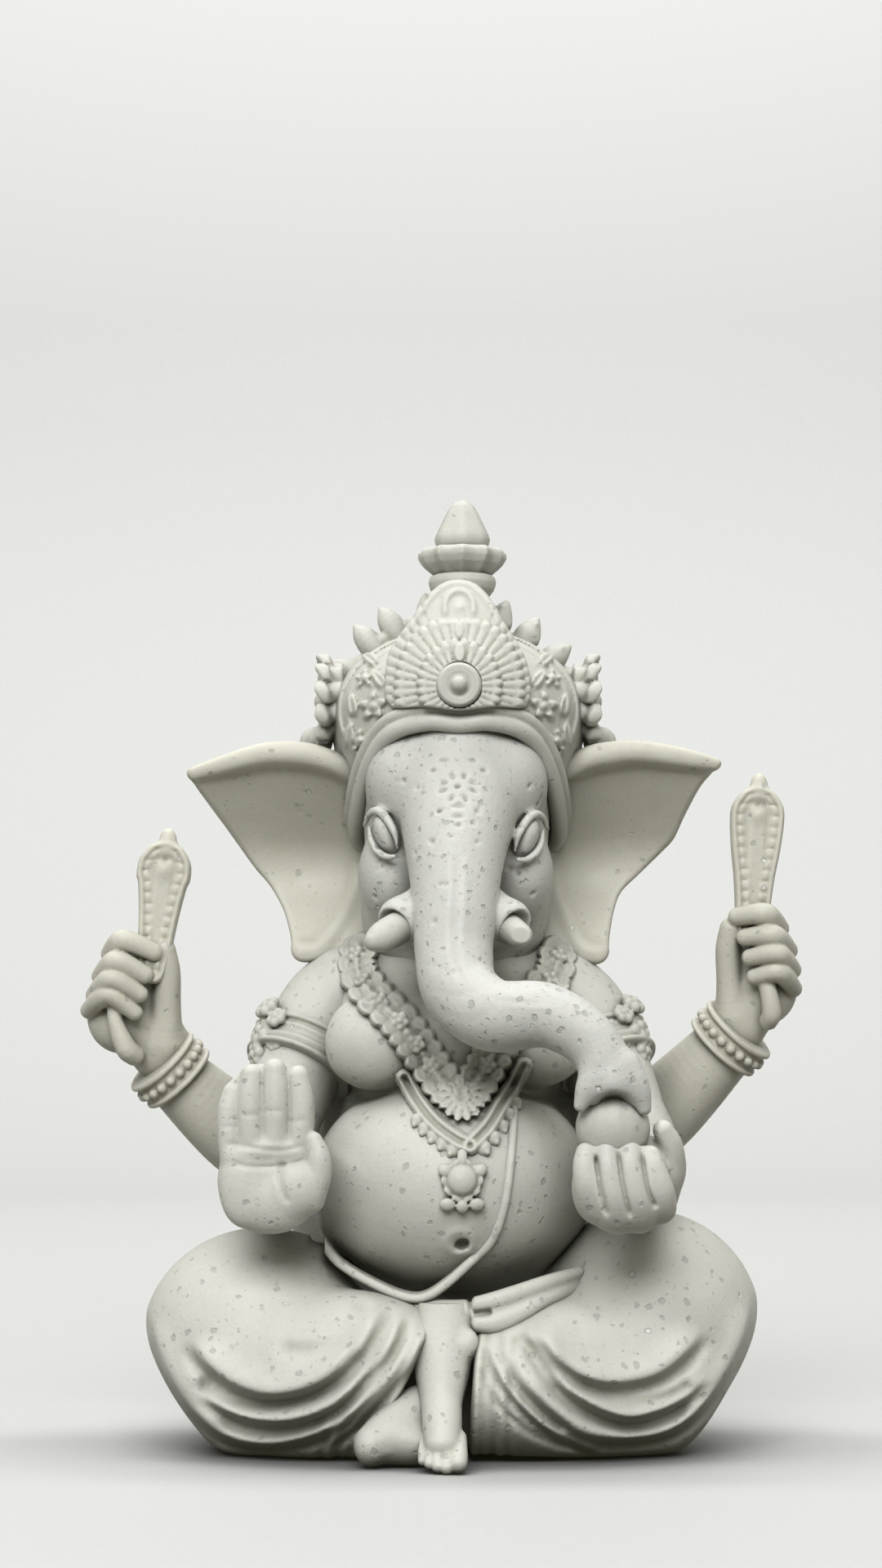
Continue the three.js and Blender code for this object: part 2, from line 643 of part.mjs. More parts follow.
// The mesh of a solid, with its own origin in the middle of its own box.
function meshOf(name, solid, tone) {
  const { numVert, numProp, vertProperties, triVerts } = solid.getMesh();
  const positions = new Float32Array(numVert * 3);
  for (let i = 0; i < numVert; i++) {
    positions.set(vertProperties.subarray(i * numProp, i * numProp + 3), i * 3);
  }
  const geometry = new THREE.BufferGeometry();
  geometry.setAttribute("position", new THREE.BufferAttribute(positions, 3));
  geometry.setIndex(new THREE.BufferAttribute(triVerts, 1));
  geometry.computeVertexNormals();
  geometry.computeBoundingBox();
  const middle = geometry.boundingBox.getCenter(new THREE.Vector3()).round();
  geometry.translate(-middle.x, -middle.y, -middle.z);
  const mesh = new THREE.Mesh(geometry, new THREE.MeshStandardMaterial({ color: TONES[tone], ...SHEEN }));
  mesh.name = name;
  mesh.position.copy(middle);
  return mesh;
}

const idol = new THREE.Group();
const groups = {};
const placed = [];
for (const [groupName, tone, name, shape] of PIECES) {
  let solid = shape(0);
  const box = solid.boundingBox();
  for (const grown of placed) {
    if (boxesMeet(box, grown.boundingBox())) solid = solid.subtract(grown);
  }
  if (!groups[groupName]) {
    groups[groupName] = new THREE.Group();
    idol.add(groups[groupName]);
  }
  groups[groupName].add(meshOf(name, largest(solid), tone));
  placed.push(shape(GLUE_GAP));
}

export default idol;
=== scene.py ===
import math

import bpy
import numpy as np
from mathutils import Euler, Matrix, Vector


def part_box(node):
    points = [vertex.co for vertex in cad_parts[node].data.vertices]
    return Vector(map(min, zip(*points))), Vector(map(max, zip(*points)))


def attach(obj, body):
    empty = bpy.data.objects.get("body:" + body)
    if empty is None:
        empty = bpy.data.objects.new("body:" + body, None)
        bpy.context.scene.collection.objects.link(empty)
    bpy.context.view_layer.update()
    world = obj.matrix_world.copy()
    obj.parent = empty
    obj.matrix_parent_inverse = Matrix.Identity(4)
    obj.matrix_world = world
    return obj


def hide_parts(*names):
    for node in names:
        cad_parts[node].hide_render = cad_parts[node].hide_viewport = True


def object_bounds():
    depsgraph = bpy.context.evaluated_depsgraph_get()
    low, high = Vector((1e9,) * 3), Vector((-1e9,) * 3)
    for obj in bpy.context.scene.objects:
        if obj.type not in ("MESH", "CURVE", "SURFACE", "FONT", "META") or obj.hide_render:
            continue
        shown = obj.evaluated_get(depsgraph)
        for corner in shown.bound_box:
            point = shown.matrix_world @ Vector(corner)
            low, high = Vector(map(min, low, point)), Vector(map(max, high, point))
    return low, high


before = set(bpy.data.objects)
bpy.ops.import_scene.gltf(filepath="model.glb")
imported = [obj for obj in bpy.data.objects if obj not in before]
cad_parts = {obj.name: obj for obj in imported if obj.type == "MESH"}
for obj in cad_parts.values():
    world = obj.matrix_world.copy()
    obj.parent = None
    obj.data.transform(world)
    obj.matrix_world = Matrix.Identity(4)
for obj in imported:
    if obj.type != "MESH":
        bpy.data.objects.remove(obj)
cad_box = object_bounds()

# The idol is modelled like clay: every piece is a signed-distance field on a grid, built up from lumps and
# limbs with soft joins, then pressed with relief, and cast into a mesh. The clay works in millimetres.
MM = 0.001
FAR = 50.0  # the distance that empty clay starts with
LIMB_REACH = 7  # how far round a limb its distance is worked out
COARSE = 1.0  # how many times coarser than given every grid is
random = np.random.default_rng(7)


# ---------------------------------------------------------------------------------------------------------
# Clay


def soft_min(a, b, soft):
    """The smaller of two distances, with a fillet of size soft where they meet."""
    if soft <= 0:
        return np.minimum(a, b)
    near = np.maximum(soft - np.abs(a - b), 0) / soft
    return np.minimum(a, b) - near * near * (soft / 4)


def soft_max(a, b, soft):
    return -soft_min(-a, -b, soft)


def smooth_step(start, end, t):
    t = np.clip((t - start) / (end - start), 0, 1)
    return t * t * (3 - 2 * t)


def bump(distance, width):
    return np.exp(-((distance / width) ** 2))


class Spot:
    """The corners and the middle of a CAD node's box, in mm."""

    def __init__(self, node):
        low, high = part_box(node)
        self.low = np.array(low) / MM
        self.high = np.array(high) / MM
        self.mid = (self.low + self.high) / 2
        self.size = self.high - self.low

    def __call__(self, x, y, z):
        """The point this far from the middle of the box."""
        return self.mid + (x, y, z)

    def path(self, points):
        """Points of (x, y, z, radius) whose places are measured from the middle of the box."""
        return [(*(self.mid + p[:3]), *p[3:]) for p in points]

    def flat(self, points):
        """Points of (x, z) measured from the middle of the box."""
        return [(self.mid[0] + x, self.mid[2] + z) for x, z in points]


class Clay:
    """A grid of clay. field is the distance to its surface in mm, negative inside."""

    def __init__(self, low, high, grain):
        self.grain = grain * COARSE
        self.low = np.floor(np.array(low) / self.grain - 2) * self.grain
        counts = np.ceil((np.array(high) - self.low) / self.grain).astype(int) + 3
        self.axes = [
            (start + self.grain * np.arange(count)).astype(np.float32)
            for start, count in zip(self.low, counts)
        ]
        self.field = np.full(counts, FAR, np.float32)

    def block(self, low, high):
        """The part of the grid between two corners, and its coordinates as open arrays."""
        cuts = [
            slice(int(np.searchsorted(axis, a)), int(np.searchsorted(axis, b)))
            for axis, a, b in zip(self.axes, low, high)
        ]
        x, y, z = (axis[cut] for axis, cut in zip(self.axes, cuts))
        return tuple(cuts), x[:, None, None], y[None, :, None], z[None, None, :]

    def everywhere(self):
        x, y, z = self.axes
        return x[:, None, None], y[None, :, None], z[None, None, :]

    def add(self, form, soft=0.0, reach=2.0):
        where, x, y, z = self.block(form.low - reach - soft, form.high + reach + soft)
        if self.field[where].size:
            self.field[where] = soft_min(self.field[where], form.distance(x, y, z), soft)
        return self

    def cut(self, form, soft=0.0, reach=1.0):
        where, x, y, z = self.block(form.low - reach - soft, form.high + reach + soft)
        if self.field[where].size:
            self.field[where] = soft_max(self.field[where], -form.distance(x, y, z), soft)
        return self

    def keep(self, distance, soft=0.0):
        """Keeps only the clay where distance is negative."""
        self.field = soft_max(self.field, distance.astype(np.float32), soft)
        return self

    def stand(self, floor):
        return self.keep(floor - self.everywhere()[2])

    def press(self, relief, back=None, fade=4.0):
        """Raises the surface by relief(x, z), seen from the front, fading out behind the plane y = back."""
        x, y, z = self.everywhere()
        height = relief(x[:, 0], z[0]).astype(np.float32)[:, None, :]
        if back is not None:
            height = height * smooth_step(back + fade, back - fade, y)
        self.field -= height
        return self

    def front(self, x, z):
        """The y of the frontmost surface over the point (x, z)."""
        i = min(max(int(round((x - self.low[0]) / self.grain)), 0), self.field.shape[0] - 1)
        k = min(max(int(round((z - self.low[2]) / self.grain)), 0), self.field.shape[2] - 1)
        column = self.field[i, :, k]
        hits = np.nonzero(column < 0)[0]
        if not len(hits):
            return float(self.axes[1][len(column) // 2])
        j = max(int(hits[0]), 1)
        outside, inside = column[j - 1], column[j]
        return float(self.axes[1][j] - self.grain * inside / (inside - outside))


class Lump:
    """An ellipsoid, turned by Euler angles in degrees."""

    def __init__(self, centre, radii, turn=(0, 0, 0)):
        self.centre = np.array(centre, float)
        self.radii = np.array(radii, float)
        self.turn = np.array(Euler([math.radians(a) for a in turn]).to_matrix())
        self.turned = any(turn)
        extent = np.sqrt(((self.turn * self.radii) ** 2).sum(1))
        self.low = self.centre - extent
        self.high = self.centre + extent

    def distance(self, x, y, z):
        x, y, z = (np.float32(1) * (a - c) for a, c in zip((x, y, z), self.centre.astype(np.float32)))
        if self.turned:
            m = self.turn.astype(np.float32)
            x, y, z = (m[0, i] * x + m[1, i] * y + m[2, i] * z for i in range(3))
        a, b, c = (np.float32(r) for r in self.radii)
        near = np.sqrt((x / a) ** 2 + (y / b) ** 2 + (z / c) ** 2)
        slope = np.sqrt((x / a**2) ** 2 + (y / b**2) ** 2 + (z / c**2) ** 2)
        return near * (near - 1) / np.maximum(slope, 1e-6)


def spline(points, steps):
    """A smooth line through points of any dimension, with steps samples a span."""
    p = np.array(points, float)
    if len(p) == 2:
        return p[0] + np.linspace(0, 1, steps + 1)[:, None] * (p[1] - p[0])
    p = np.vstack([2 * p[0] - p[1], p, 2 * p[-1] - p[-2]])
    t = np.arange(steps)[:, None] / steps
    spans = []
    for a, b, c, d in zip(p, p[1:], p[2:], p[3:]):
        spans.append(
            0.5 * (2 * b + (c - a) * t + (2 * a - 5 * b + 4 * c - d) * t**2 + (3 * b - a - 3 * c + d) * t**3)
        )
    return np.vstack(spans + [p[-2:-1]])


class Limb:
    """A tapering round limb through (x, y, z, radius) points."""

    def __init__(self, points, steps=5):
        self.path = spline(points, steps).astype(np.float32)
        thick = self.path[:, 3:]
        self.low = (self.path[:, :3] - thick).min(0)
        self.high = (self.path[:, :3] + thick).max(0)

    def distance(self, x, y, z):
        nearest = np.full(np.broadcast_shapes(x.shape, y.shape, z.shape), FAR, np.float32)
        for a, b in zip(self.path, self.path[1:]):
            reach = max(a[3], b[3]) + LIMB_REACH
            cuts = []
            for axis, values in enumerate((x, y, z)):
                flat = values.reshape(-1)
                low = min(a[axis], b[axis]) - reach
                high = max(a[axis], b[axis]) + reach
                cuts.append(slice(int(np.searchsorted(flat, low)), int(np.searchsorted(flat, high))))
            px = x[cuts[0]] - a[0]
            py = y[:, cuts[1]] - a[1]
            pz = z[:, :, cuts[2]] - a[2]
            if not (px.size and py.size and pz.size):
                continue
            along = b[:3] - a[:3]
            t = (px * along[0] + py * along[1] + pz * along[2]) / max(float(along @ along), 1e-9)
            t = np.clip(t, 0, 1)
            gap = np.sqrt(
                (px - t * along[0]) ** 2 + (py - t * along[1]) ** 2 + (pz - t * along[2]) ** 2
            ) - (a[3] + t * (b[3] - a[3]))
            part = nearest[cuts[0], cuts[1], cuts[2]]
            np.minimum(part, gap, out=part)
        return nearest


class Ring:
    """A band round an axis: between two radii and of a given height, with rounded edges."""

    def __init__(self, centre, axis, inner, outer, height, edge=0.4):
        self.centre = np.array(centre, float)
        self.axis = np.array(axis, float) / np.linalg.norm(axis)
        self.inner, self.outer, self.height, self.edge = inner, outer, height, edge
        self.low = self.centre - outer - height
        self.high = self.centre + outer + height

    def distance(self, x, y, z):
        px, py, pz = x - self.centre[0], y - self.centre[1], z - self.centre[2]
        up = px * self.axis[0] + py * self.axis[1] + pz * self.axis[2]
        out = np.sqrt(np.maximum(px**2 + py**2 + pz**2 - up**2, 0))
        middle = (self.inner + self.outer) / 2
        half = (self.outer - self.inner) / 2 - self.edge
        a = np.abs(out - middle) - half
        b = np.abs(up) - (self.height / 2 - self.edge)
        rim = np.sqrt(np.maximum(a, 0) ** 2 + np.maximum(b, 0) ** 2)
        return rim + np.minimum(np.maximum(a, b), 0) - self.edge


class Route:
    """A smooth line on the (x, z) plane. It measures how far points lie from it and along it."""

    def __init__(self, points):
        self.line = spline(points, 6)

    def measure(self, x, z):
        shape = np.broadcast_shapes(x.shape, z.shape)
        best = np.full(shape, FAR)
        side = np.zeros(shape)
        along = np.zeros(shape)
        for i, (a, b) in enumerate(zip(self.line, self.line[1:])):
            dx, dz = b - a
            t = np.clip(((x - a[0]) * dx + (z - a[1]) * dz) / (dx * dx + dz * dz), 0, 1)
            ox, oz = x - a[0] - t * dx, z - a[1] - t * dz
            gap = np.hypot(ox, oz)
            closer = gap < best
            best = np.where(closer, gap, best)
            side = np.where(closer, np.sign(dx * oz - dz * ox), side)
            along = np.where(closer, (i + t) / (len(self.line) - 1), along)
        return best, side, along

    def at(self, t):
        """The point a share t of the way along."""
        steps = np.hypot(*np.diff(self.line, axis=0).T)
        walked = np.concatenate([[0], np.cumsum(steps)])
        return np.array([np.interp(t * walked[-1], walked, self.line[:, i]) for i in (0, 1)])


def ridge(x, z, points, width, height, ends=0.12):
    """A rounded ridge (or a groove, if height is negative) along a route, dying out at both ends."""
    gap, _, along = Route(points).measure(x, z)
    fade = smooth_step(0, ends, along) * smooth_step(1, 1 - ends, along)
    return height * bump(gap, width) * fade


def fold(x, z, points, width, height, upper, ends=0.18):
    """A fold of cloth: it swells gently on its upper side (1 left of the route, -1 right), then drops."""
    gap, side, along = Route(points).measure(x, z)
    signed = gap * side * upper
    fade = smooth_step(0, ends, along) * smooth_step(1, 1 - ends, along)
    swell = np.where(signed > 0, bump(signed, width * 1.6), bump(signed, width * 0.55))
    crease = bump(signed + width * 1.15, width * 0.6)
    return fade * height * (swell - 0.75 * crease)


# ---------------------------------------------------------------------------------------------------------
# Casting: from clay to a mesh


CORNERS = [(i, j, k) for i in (0, 1) for j in (0, 1) for k in (0, 1)]
EDGES = [(a, b) for a in range(8) for b in range(a + 1, 8) if bin(a ^ b).count("1") == 1]


def skin(clay):
    """The surface of the clay as points and quads: one point in each cell that the surface crosses."""
    field = clay.field
    field[[0, -1]] = field[:, [0, -1]] = field[:, :, [0, -1]] = FAR
    inside = field < 0
    cells = tuple(n - 1 for n in field.shape)
    count = np.zeros(cells, np.int8)
    for i, j, k in CORNERS:
        count += inside[i : i + cells[0], j : j + cells[1], k : k + cells[2]]
    crossed = np.nonzero((count > 0) & (count < 8))
    number = np.full(cells, -1, np.int32)
    number[crossed] = np.arange(len(crossed[0]))
    values = np.stack([field[crossed[0] + i, crossed[1] + j, crossed[2] + k] for i, j, k in CORNERS], 1)
    total = np.zeros((len(values), 3))
    hits = np.zeros(len(values))
    for a, b in EDGES:
        va, vb = values[:, a], values[:, b]
        cross = (va < 0) != (vb < 0)
        t = np.where(cross, va / np.where(cross, va - vb, 1), 0)[:, None]
        point = np.array(CORNERS[a]) + t * (np.array(CORNERS[b]) - np.array(CORNERS[a]))
        total += np.where(cross[:, None], point, 0)
        hits += cross
    points = clay.low + clay.grain * (np.stack(crossed, 1) + total / hits[:, None])
    quads = []
    for axis in range(3):
        others = [a for a in range(3) if a != axis]
        low = [slice(1, -1)] * 3
        high = [slice(1, -1)] * 3
        low[axis], high[axis] = slice(0, -1), slice(1, None)
        start, end = inside[tuple(low)], inside[tuple(high)]
        at = list(np.nonzero(start != end))
        outward = start[tuple(at)]
        for other in others:
            at[other] = at[other] + 1
        around = []
        for da, db in ((0, 0), (1, 0), (1, 1), (0, 1)):
            cell = list(at)
            cell[others[0]] = cell[others[0]] - da
            cell[others[1]] = cell[others[1]] - db
            around.append(number[tuple(cell)])
        quad = np.stack(around, 1)
        flip = outward if axis != 1 else ~outward
        quad[~flip] = quad[~flip][:, ::-1]
        quads.append(quad)
    return points, np.vstack(quads)


def relax(points, quads):
    """Moves each point half of the way to the middle of its neighbours."""
    a, b = np.vstack([quads[:, [i, (i + 1) % 4]] for i in range(4)]).T
    count = len(points)
    degree = np.bincount(a, minlength=count) + np.bincount(b, minlength=count)
    total = [np.bincount(a, points[b, i], count) + np.bincount(b, points[a, i], count) for i in range(3)]
    return points + 0.5 * (np.stack(total, 1) / degree[:, None] - points)


# ---------------------------------------------------------------------------------------------------------
# Shapes from outlines


def outline_distance(corners, u, v):
    """Distance from points (u, v) to a closed outline, negative inside it."""
    corners = np.array(corners, float)
    shape = np.broadcast_shapes(np.shape(u), np.shape(v))
    near = np.full(shape, FAR)
    inside = np.zeros(shape, bool)
    for a, b in zip(corners, np.roll(corners, -1, 0)):
        du, dv = b - a
        t = np.clip(((u - a[0]) * du + (v - a[1]) * dv) / max(du * du + dv * dv, 1e-9), 0, 1)
        near = np.minimum(near, np.hypot(u - a[0] - t * du, v - a[1] - t * dv))
        between = (a[1] > v) != (b[1] > v)
        inside ^= between & (u < a[0] + (v - a[1]) * du / (dv if dv else 1e-9))
    return np.where(inside, -near, near)


def closed_spline(points, steps=6):
    """A smooth closed outline through points."""
    p = np.array(points, float)
    p = np.vstack([p[-1:], p, p[:2]])
    return spline(p, steps)[steps : -steps - 1]


class Turned:
    """A form turned round a vertical axis from (radius, height) corners, with lobes round it."""

    def __init__(self, centre, profile, lobes=0, depth=0.0, sharp=False):
        self.centre = np.array(centre, float)
        self.profile = np.array(profile, float)
        self.lobes, self.depth, self.sharp = lobes, depth, sharp
        wide = self.profile[:, 0].max() * (1 + depth)
        self.low = self.centre + (-wide, -wide, self.profile[:, 1].min())
        self.high = self.centre + (wide, wide, self.profile[:, 1].max())

    def distance(self, x, y, z):
        px, py, pz = (a - c for a, c in zip((x, y, z), self.centre))
        out = np.hypot(px, py)
        if self.lobes:
            turn = np.arctan2(px, -py) * self.lobes
            wave = 1 - 2 * np.abs(np.sin(turn / 2)) if self.sharp else np.cos(turn)
            out = out / (1 + self.depth * wave)
        whole = np.vstack([self.profile, self.profile[::-1] * (-1, 1)])
        return outline_distance(whole, out, pz + 0 * out)


class Sheet:
    """A curved sheet: inside an outline on the (x, z) plane, about a middle surface y(x, z)."""

    def __init__(self, outline, middle, half, low, high, edge=0.8):
        self.outline, self.middle, self.half, self.edge = outline, middle, half, edge
        self.low, self.high = np.array(low, float), np.array(high, float)

    def distance(self, x, y, z):
        x2, z2 = x[:, 0], z[0]
        rim = outline_distance(self.outline, x2, z2)[:, None, :]
        middle = self.middle(x2, z2)[:, None, :]
        half = self.half(x2)[:, None, :]
        return soft_max(rim, (np.abs(y - middle) - half) * 0.85, self.edge)


def petals(turn, count):
    """How far across its petal each angle lies, from -1 to 1, for count petals round a circle."""
    share = turn * count / (2 * math.pi)
    return 2 * (share - np.floor(share)) - 1


# ---------------------------------------------------------------------------------------------------------
# The material: cast marble, with flecks, pits, painted glints and painted shade


class Nodes:
    """A short way to write shader nodes."""

    def __init__(self, owner):
        owner.use_nodes = True
        self.tree = owner.node_tree
        self.tree.nodes.clear()

    def make(self, kind, **settings):
        node = self.tree.nodes.new(kind)
        for name, value in settings.items():
            setattr(node, name, value)
        return node

    def plug(self, socket, value):
        """Links a node's output to a socket, or gives the socket a constant."""
        if isinstance(value, bpy.types.NodeSocket):
            self.tree.links.new(value, socket)
        else:
            socket.default_value = value

    def fill(self, node, values):
        """Plugs values into a node's first sockets, in their order."""
        for socket, value in zip(node.inputs, values):
            self.plug(socket, value)
        return node.outputs[0]

    def set(self, node, **inputs):
        for name, value in inputs.items():
            self.plug(node.inputs[name.replace("_", " ")], value)
        return node

    def noise(self, where, scale, detail=3.0, roughness=0.5):
        node = self.make("ShaderNodeTexNoise")
        return self.set(node, Vector=where, Scale=scale, Detail=detail, Roughness=roughness)

    def cells(self, where, scale):
        node = self.make("ShaderNodeTexVoronoi", feature="F1")
        return self.set(node, Vector=where, Scale=scale)

    def ramp(self, value, start, end, low=0.0, high=1.0):
        node = self.make("ShaderNodeMapRange", interpolation_type="SMOOTHSTEP")
        return self.fill(node, (value, start, end, low, high))

    def maths(self, operation, *values):
        return self.fill(self.make("ShaderNodeMath", operation=operation), values)

    def mix(self, share, a, b):
        node = self.make("ShaderNodeMix", data_type="RGBA")
        for index, value in ((0, share), (6, a), (7, b)):
            self.plug(node.inputs[index], value)
        return node.outputs[2]

    def finish(self, shader, kind="ShaderNodeOutputMaterial"):
        self.plug(self.make(kind).inputs[0], shader.outputs[0])


def flecks(nodes, where, scale, share, size):
    """A mask of round-cornered flecks: share of the cells hold one, size is its radius in cells."""
    cell = nodes.cells(where, scale)
    parts = nodes.set(nodes.make("ShaderNodeSeparateColor"), Color=cell.outputs["Color"])
    chosen = nodes.maths("LESS_THAN", parts.outputs[0], share)
    radius = nodes.ramp(parts.outputs[1], 0.0, 1.0, size * 0.5, size)
    gap = nodes.maths("SUBTRACT", radius, cell.outputs["Distance"])
    return nodes.maths("MULTIPLY", nodes.ramp(gap, -0.03, 0.06), chosen)


def recess(nodes, reach, shut, open_):
    """A mask of the places that the shapes round them shut in, from ambient occlusion, used to paint shade:
    1 below the share shut, 0 above open_.
    """
    node = nodes.set(nodes.make("ShaderNodeAmbientOcclusion", samples=4), Distance=reach)
    return nodes.ramp(node.outputs["AO"], open_, shut)


WOBBLE = 0.0011  # how far the flecks are shifted out of round, in metres
PALE_FLECK = (0.44, 0.44, 0.41, 1.0)
DARK_FLECK = (0.40, 0.41, 0.39, 1.0)
GLINT = (0.95, 0.95, 0.93, 1.0)


def marble(name, tone, warm, glow, fleck_share=0.36, relief=1.0):
    """Satin cast marble. tone is its own colour, warm the warm shade painted into its hollows and recesses,
    glow how far light sinks in.
    """
    material = bpy.data.materials.new(name)
    nodes = Nodes(material)
    place = nodes.make("ShaderNodeTexCoord").outputs["Object"]
    wobble = nodes.noise(place, 900.0, 2.0).outputs["Color"]
    shift = nodes.make("ShaderNodeVectorMath", operation="MULTIPLY_ADD")
    bent = nodes.fill(shift, (wobble, (WOBBLE, WOBBLE, WOBBLE), place))

    large = flecks(nodes, bent, 520.0, fleck_share, 0.3)
    small = flecks(nodes, bent, 1000.0, fleck_share * 0.8, 0.28)
    glints = flecks(nodes, bent, 520.0, 0.05, 0.2)
    clouds = nodes.ramp(nodes.noise(place, 75.0, 4.0, 0.6).outputs["Fac"], 0.3, 0.7)
    grain = nodes.ramp(nodes.noise(place, 1700.0, 4.0, 0.65).outputs["Fac"], 0.3, 0.72)
    hollow = nodes.ramp(nodes.make("ShaderNodeNewGeometry").outputs["Pointiness"], 0.42, 0.52)

    deep = tuple(c * 0.93 for c in tone) + (1.0,)
    colour = nodes.mix(clouds, deep, tone + (1.0,))
    # painted shade: the hollows of the mesh, found by its pointiness, take the warm shade colour
    colour = nodes.mix(hollow, warm + (1.0,), colour)
    speckle = nodes.ramp(grain, 0.0, 1.0, 0.0, 0.16)
    colour = nodes.mix(speckle, colour, tuple(min(c * 1.16, 0.95) for c in tone) + (1.0,))
    colour = nodes.mix(nodes.maths("MULTIPLY", small, 0.4), colour, PALE_FLECK)
    colour = nodes.mix(nodes.maths("MULTIPLY", large, 0.6), colour, DARK_FLECK)
    # painted highlights: a few flecks are painted near-white as glints, and made glossier below
    colour = nodes.mix(nodes.maths("MULTIPLY", glints, 0.8), colour, GLINT)

    gloss = nodes.ramp(nodes.noise(place, 260.0, 3.0).outputs["Fac"], 0.3, 0.7, 0.42, 0.56)
    gloss = nodes.maths("SUBTRACT", gloss, nodes.maths("MULTIPLY", glints, 0.25))

    # painted shade: the recesses, where the shapes round them shut out light, are darkened towards a deep
    # warm shade
    painted_recess_shade = nodes.maths("MULTIPLY", recess(nodes, 0.028, 0.12, 0.76), 0.78)
    colour = nodes.mix(painted_recess_shade, colour, tuple(c * 0.34 for c in warm) + (1.0,))

    height = nodes.maths("MULTIPLY", large, -1.0)
    height = nodes.maths("ADD", height, nodes.maths("MULTIPLY", small, -0.45))
    height = nodes.maths("ADD", height, nodes.maths("MULTIPLY", grain, 0.18))
    waves = nodes.noise(place, 330.0, 2.0).outputs["Fac"]
    height = nodes.maths("ADD", height, nodes.maths("MULTIPLY", waves, 0.9))
    surface = nodes.make("ShaderNodeBump")
    nodes.set(surface, Strength=0.55 * relief, Distance=0.00022, Height=height)

    shader = nodes.make("ShaderNodeBsdfPrincipled", subsurface_method="RANDOM_WALK")
    nodes.set(shader, Base_Color=colour, Roughness=gloss, Normal=surface.outputs[0], IOR=1.49)
    nodes.set(shader, Subsurface_Weight=glow, Subsurface_Scale=0.0011, Specular_IOR_Level=0.42)
    nodes.set(shader, Subsurface_Radius=(1.0, 0.85, 0.6))
    nodes.finish(shader)
    return material


stone = {
    "marble_body": marble("cast_marble_body", (0.70, 0.70, 0.655), (0.50, 0.49, 0.41), 0.35, 0.45),
    "marble_face": marble("cast_marble_face", (0.66, 0.665, 0.64), (0.5, 0.49, 0.43), 0.3, 0.62, 1.3),
    "marble_thin": marble("cast_marble_thin", (0.69, 0.68, 0.605), (0.47, 0.445, 0.34), 0.35, 0.2, 0.8),
    "marble_ornament": marble(
        "cast_marble_relief", (0.645, 0.645, 0.60), (0.40, 0.38, 0.30), 0.3, 0.2, 0.8
    ),
}


def main_island(points, quads):
    """Leaves out any speck that hangs loose beside the main body of a skin."""
    label = np.arange(len(points))
    while True:
        lowest = label[quads].min(axis=1)
        joined = label.copy()
        for corner in quads.T:
            np.minimum.at(joined, corner, lowest)
        joined = joined[joined]
        if np.array_equal(joined, label):
            break
        label = joined
    island = label[quads[:, 0]]
    names, sizes = np.unique(island, return_counts=True)
    if len(names) == 1:
        return points, quads
    used, kept = np.unique(quads[island == names[sizes.argmax()]], return_inverse=True)
    return points[used], kept.reshape(-1, 4)


def cast(name, clay, nodes, slot):
    """Casts the clay as a piece that rides on the idol and stands for CAD nodes."""
    points, quads = main_island(*skin(clay))
    points = relax(points, quads)
    mesh = bpy.data.meshes.new(name)
    mesh.vertices.add(len(points))
    mesh.vertices.foreach_set("co", (points * MM).astype(np.float32).ravel())
    mesh.loops.add(quads.size)
    mesh.loops.foreach_set("vertex_index", quads.astype(np.int32).ravel())
    mesh.polygons.add(len(quads))
    mesh.polygons.foreach_set("loop_start", np.arange(0, quads.size, 4, dtype=np.int32))
    mesh.polygons.foreach_set("use_smooth", np.ones(len(quads), bool))
    mesh.update(calc_edges=True)
    mesh.materials.append(stone[slot])
    piece = bpy.data.objects.new(name, mesh)
    bpy.context.scene.collection.objects.link(piece)
    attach(piece, "root")
    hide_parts(*nodes)
    return piece


# ---------------------------------------------------------------------------------------------------------
# The camera, the floor and the light

low, high = (np.array(corner) for corner in cad_box)
middle_x = float(low[0] + high[0]) / 2
CAMERA_AWAY = 0.518
CAMERA_HEIGHT = 0.060
CAMERA_TILT = math.radians(4.8)
LENS = 74.4
FRAME_WIDTH = 36.0

eye = bpy.data.cameras.new("camera")
eye.lens = LENS
eye.sensor_width = FRAME_WIDTH
eye.clip_start = 0.01
camera = bpy.data.objects.new("camera", eye)
camera.location = (middle_x, -CAMERA_AWAY, CAMERA_HEIGHT)
camera.rotation_euler = (math.radians(90) + CAMERA_TILT, 0, 0)
bpy.context.scene.collection.objects.link(camera)
bpy.context.scene.camera = camera


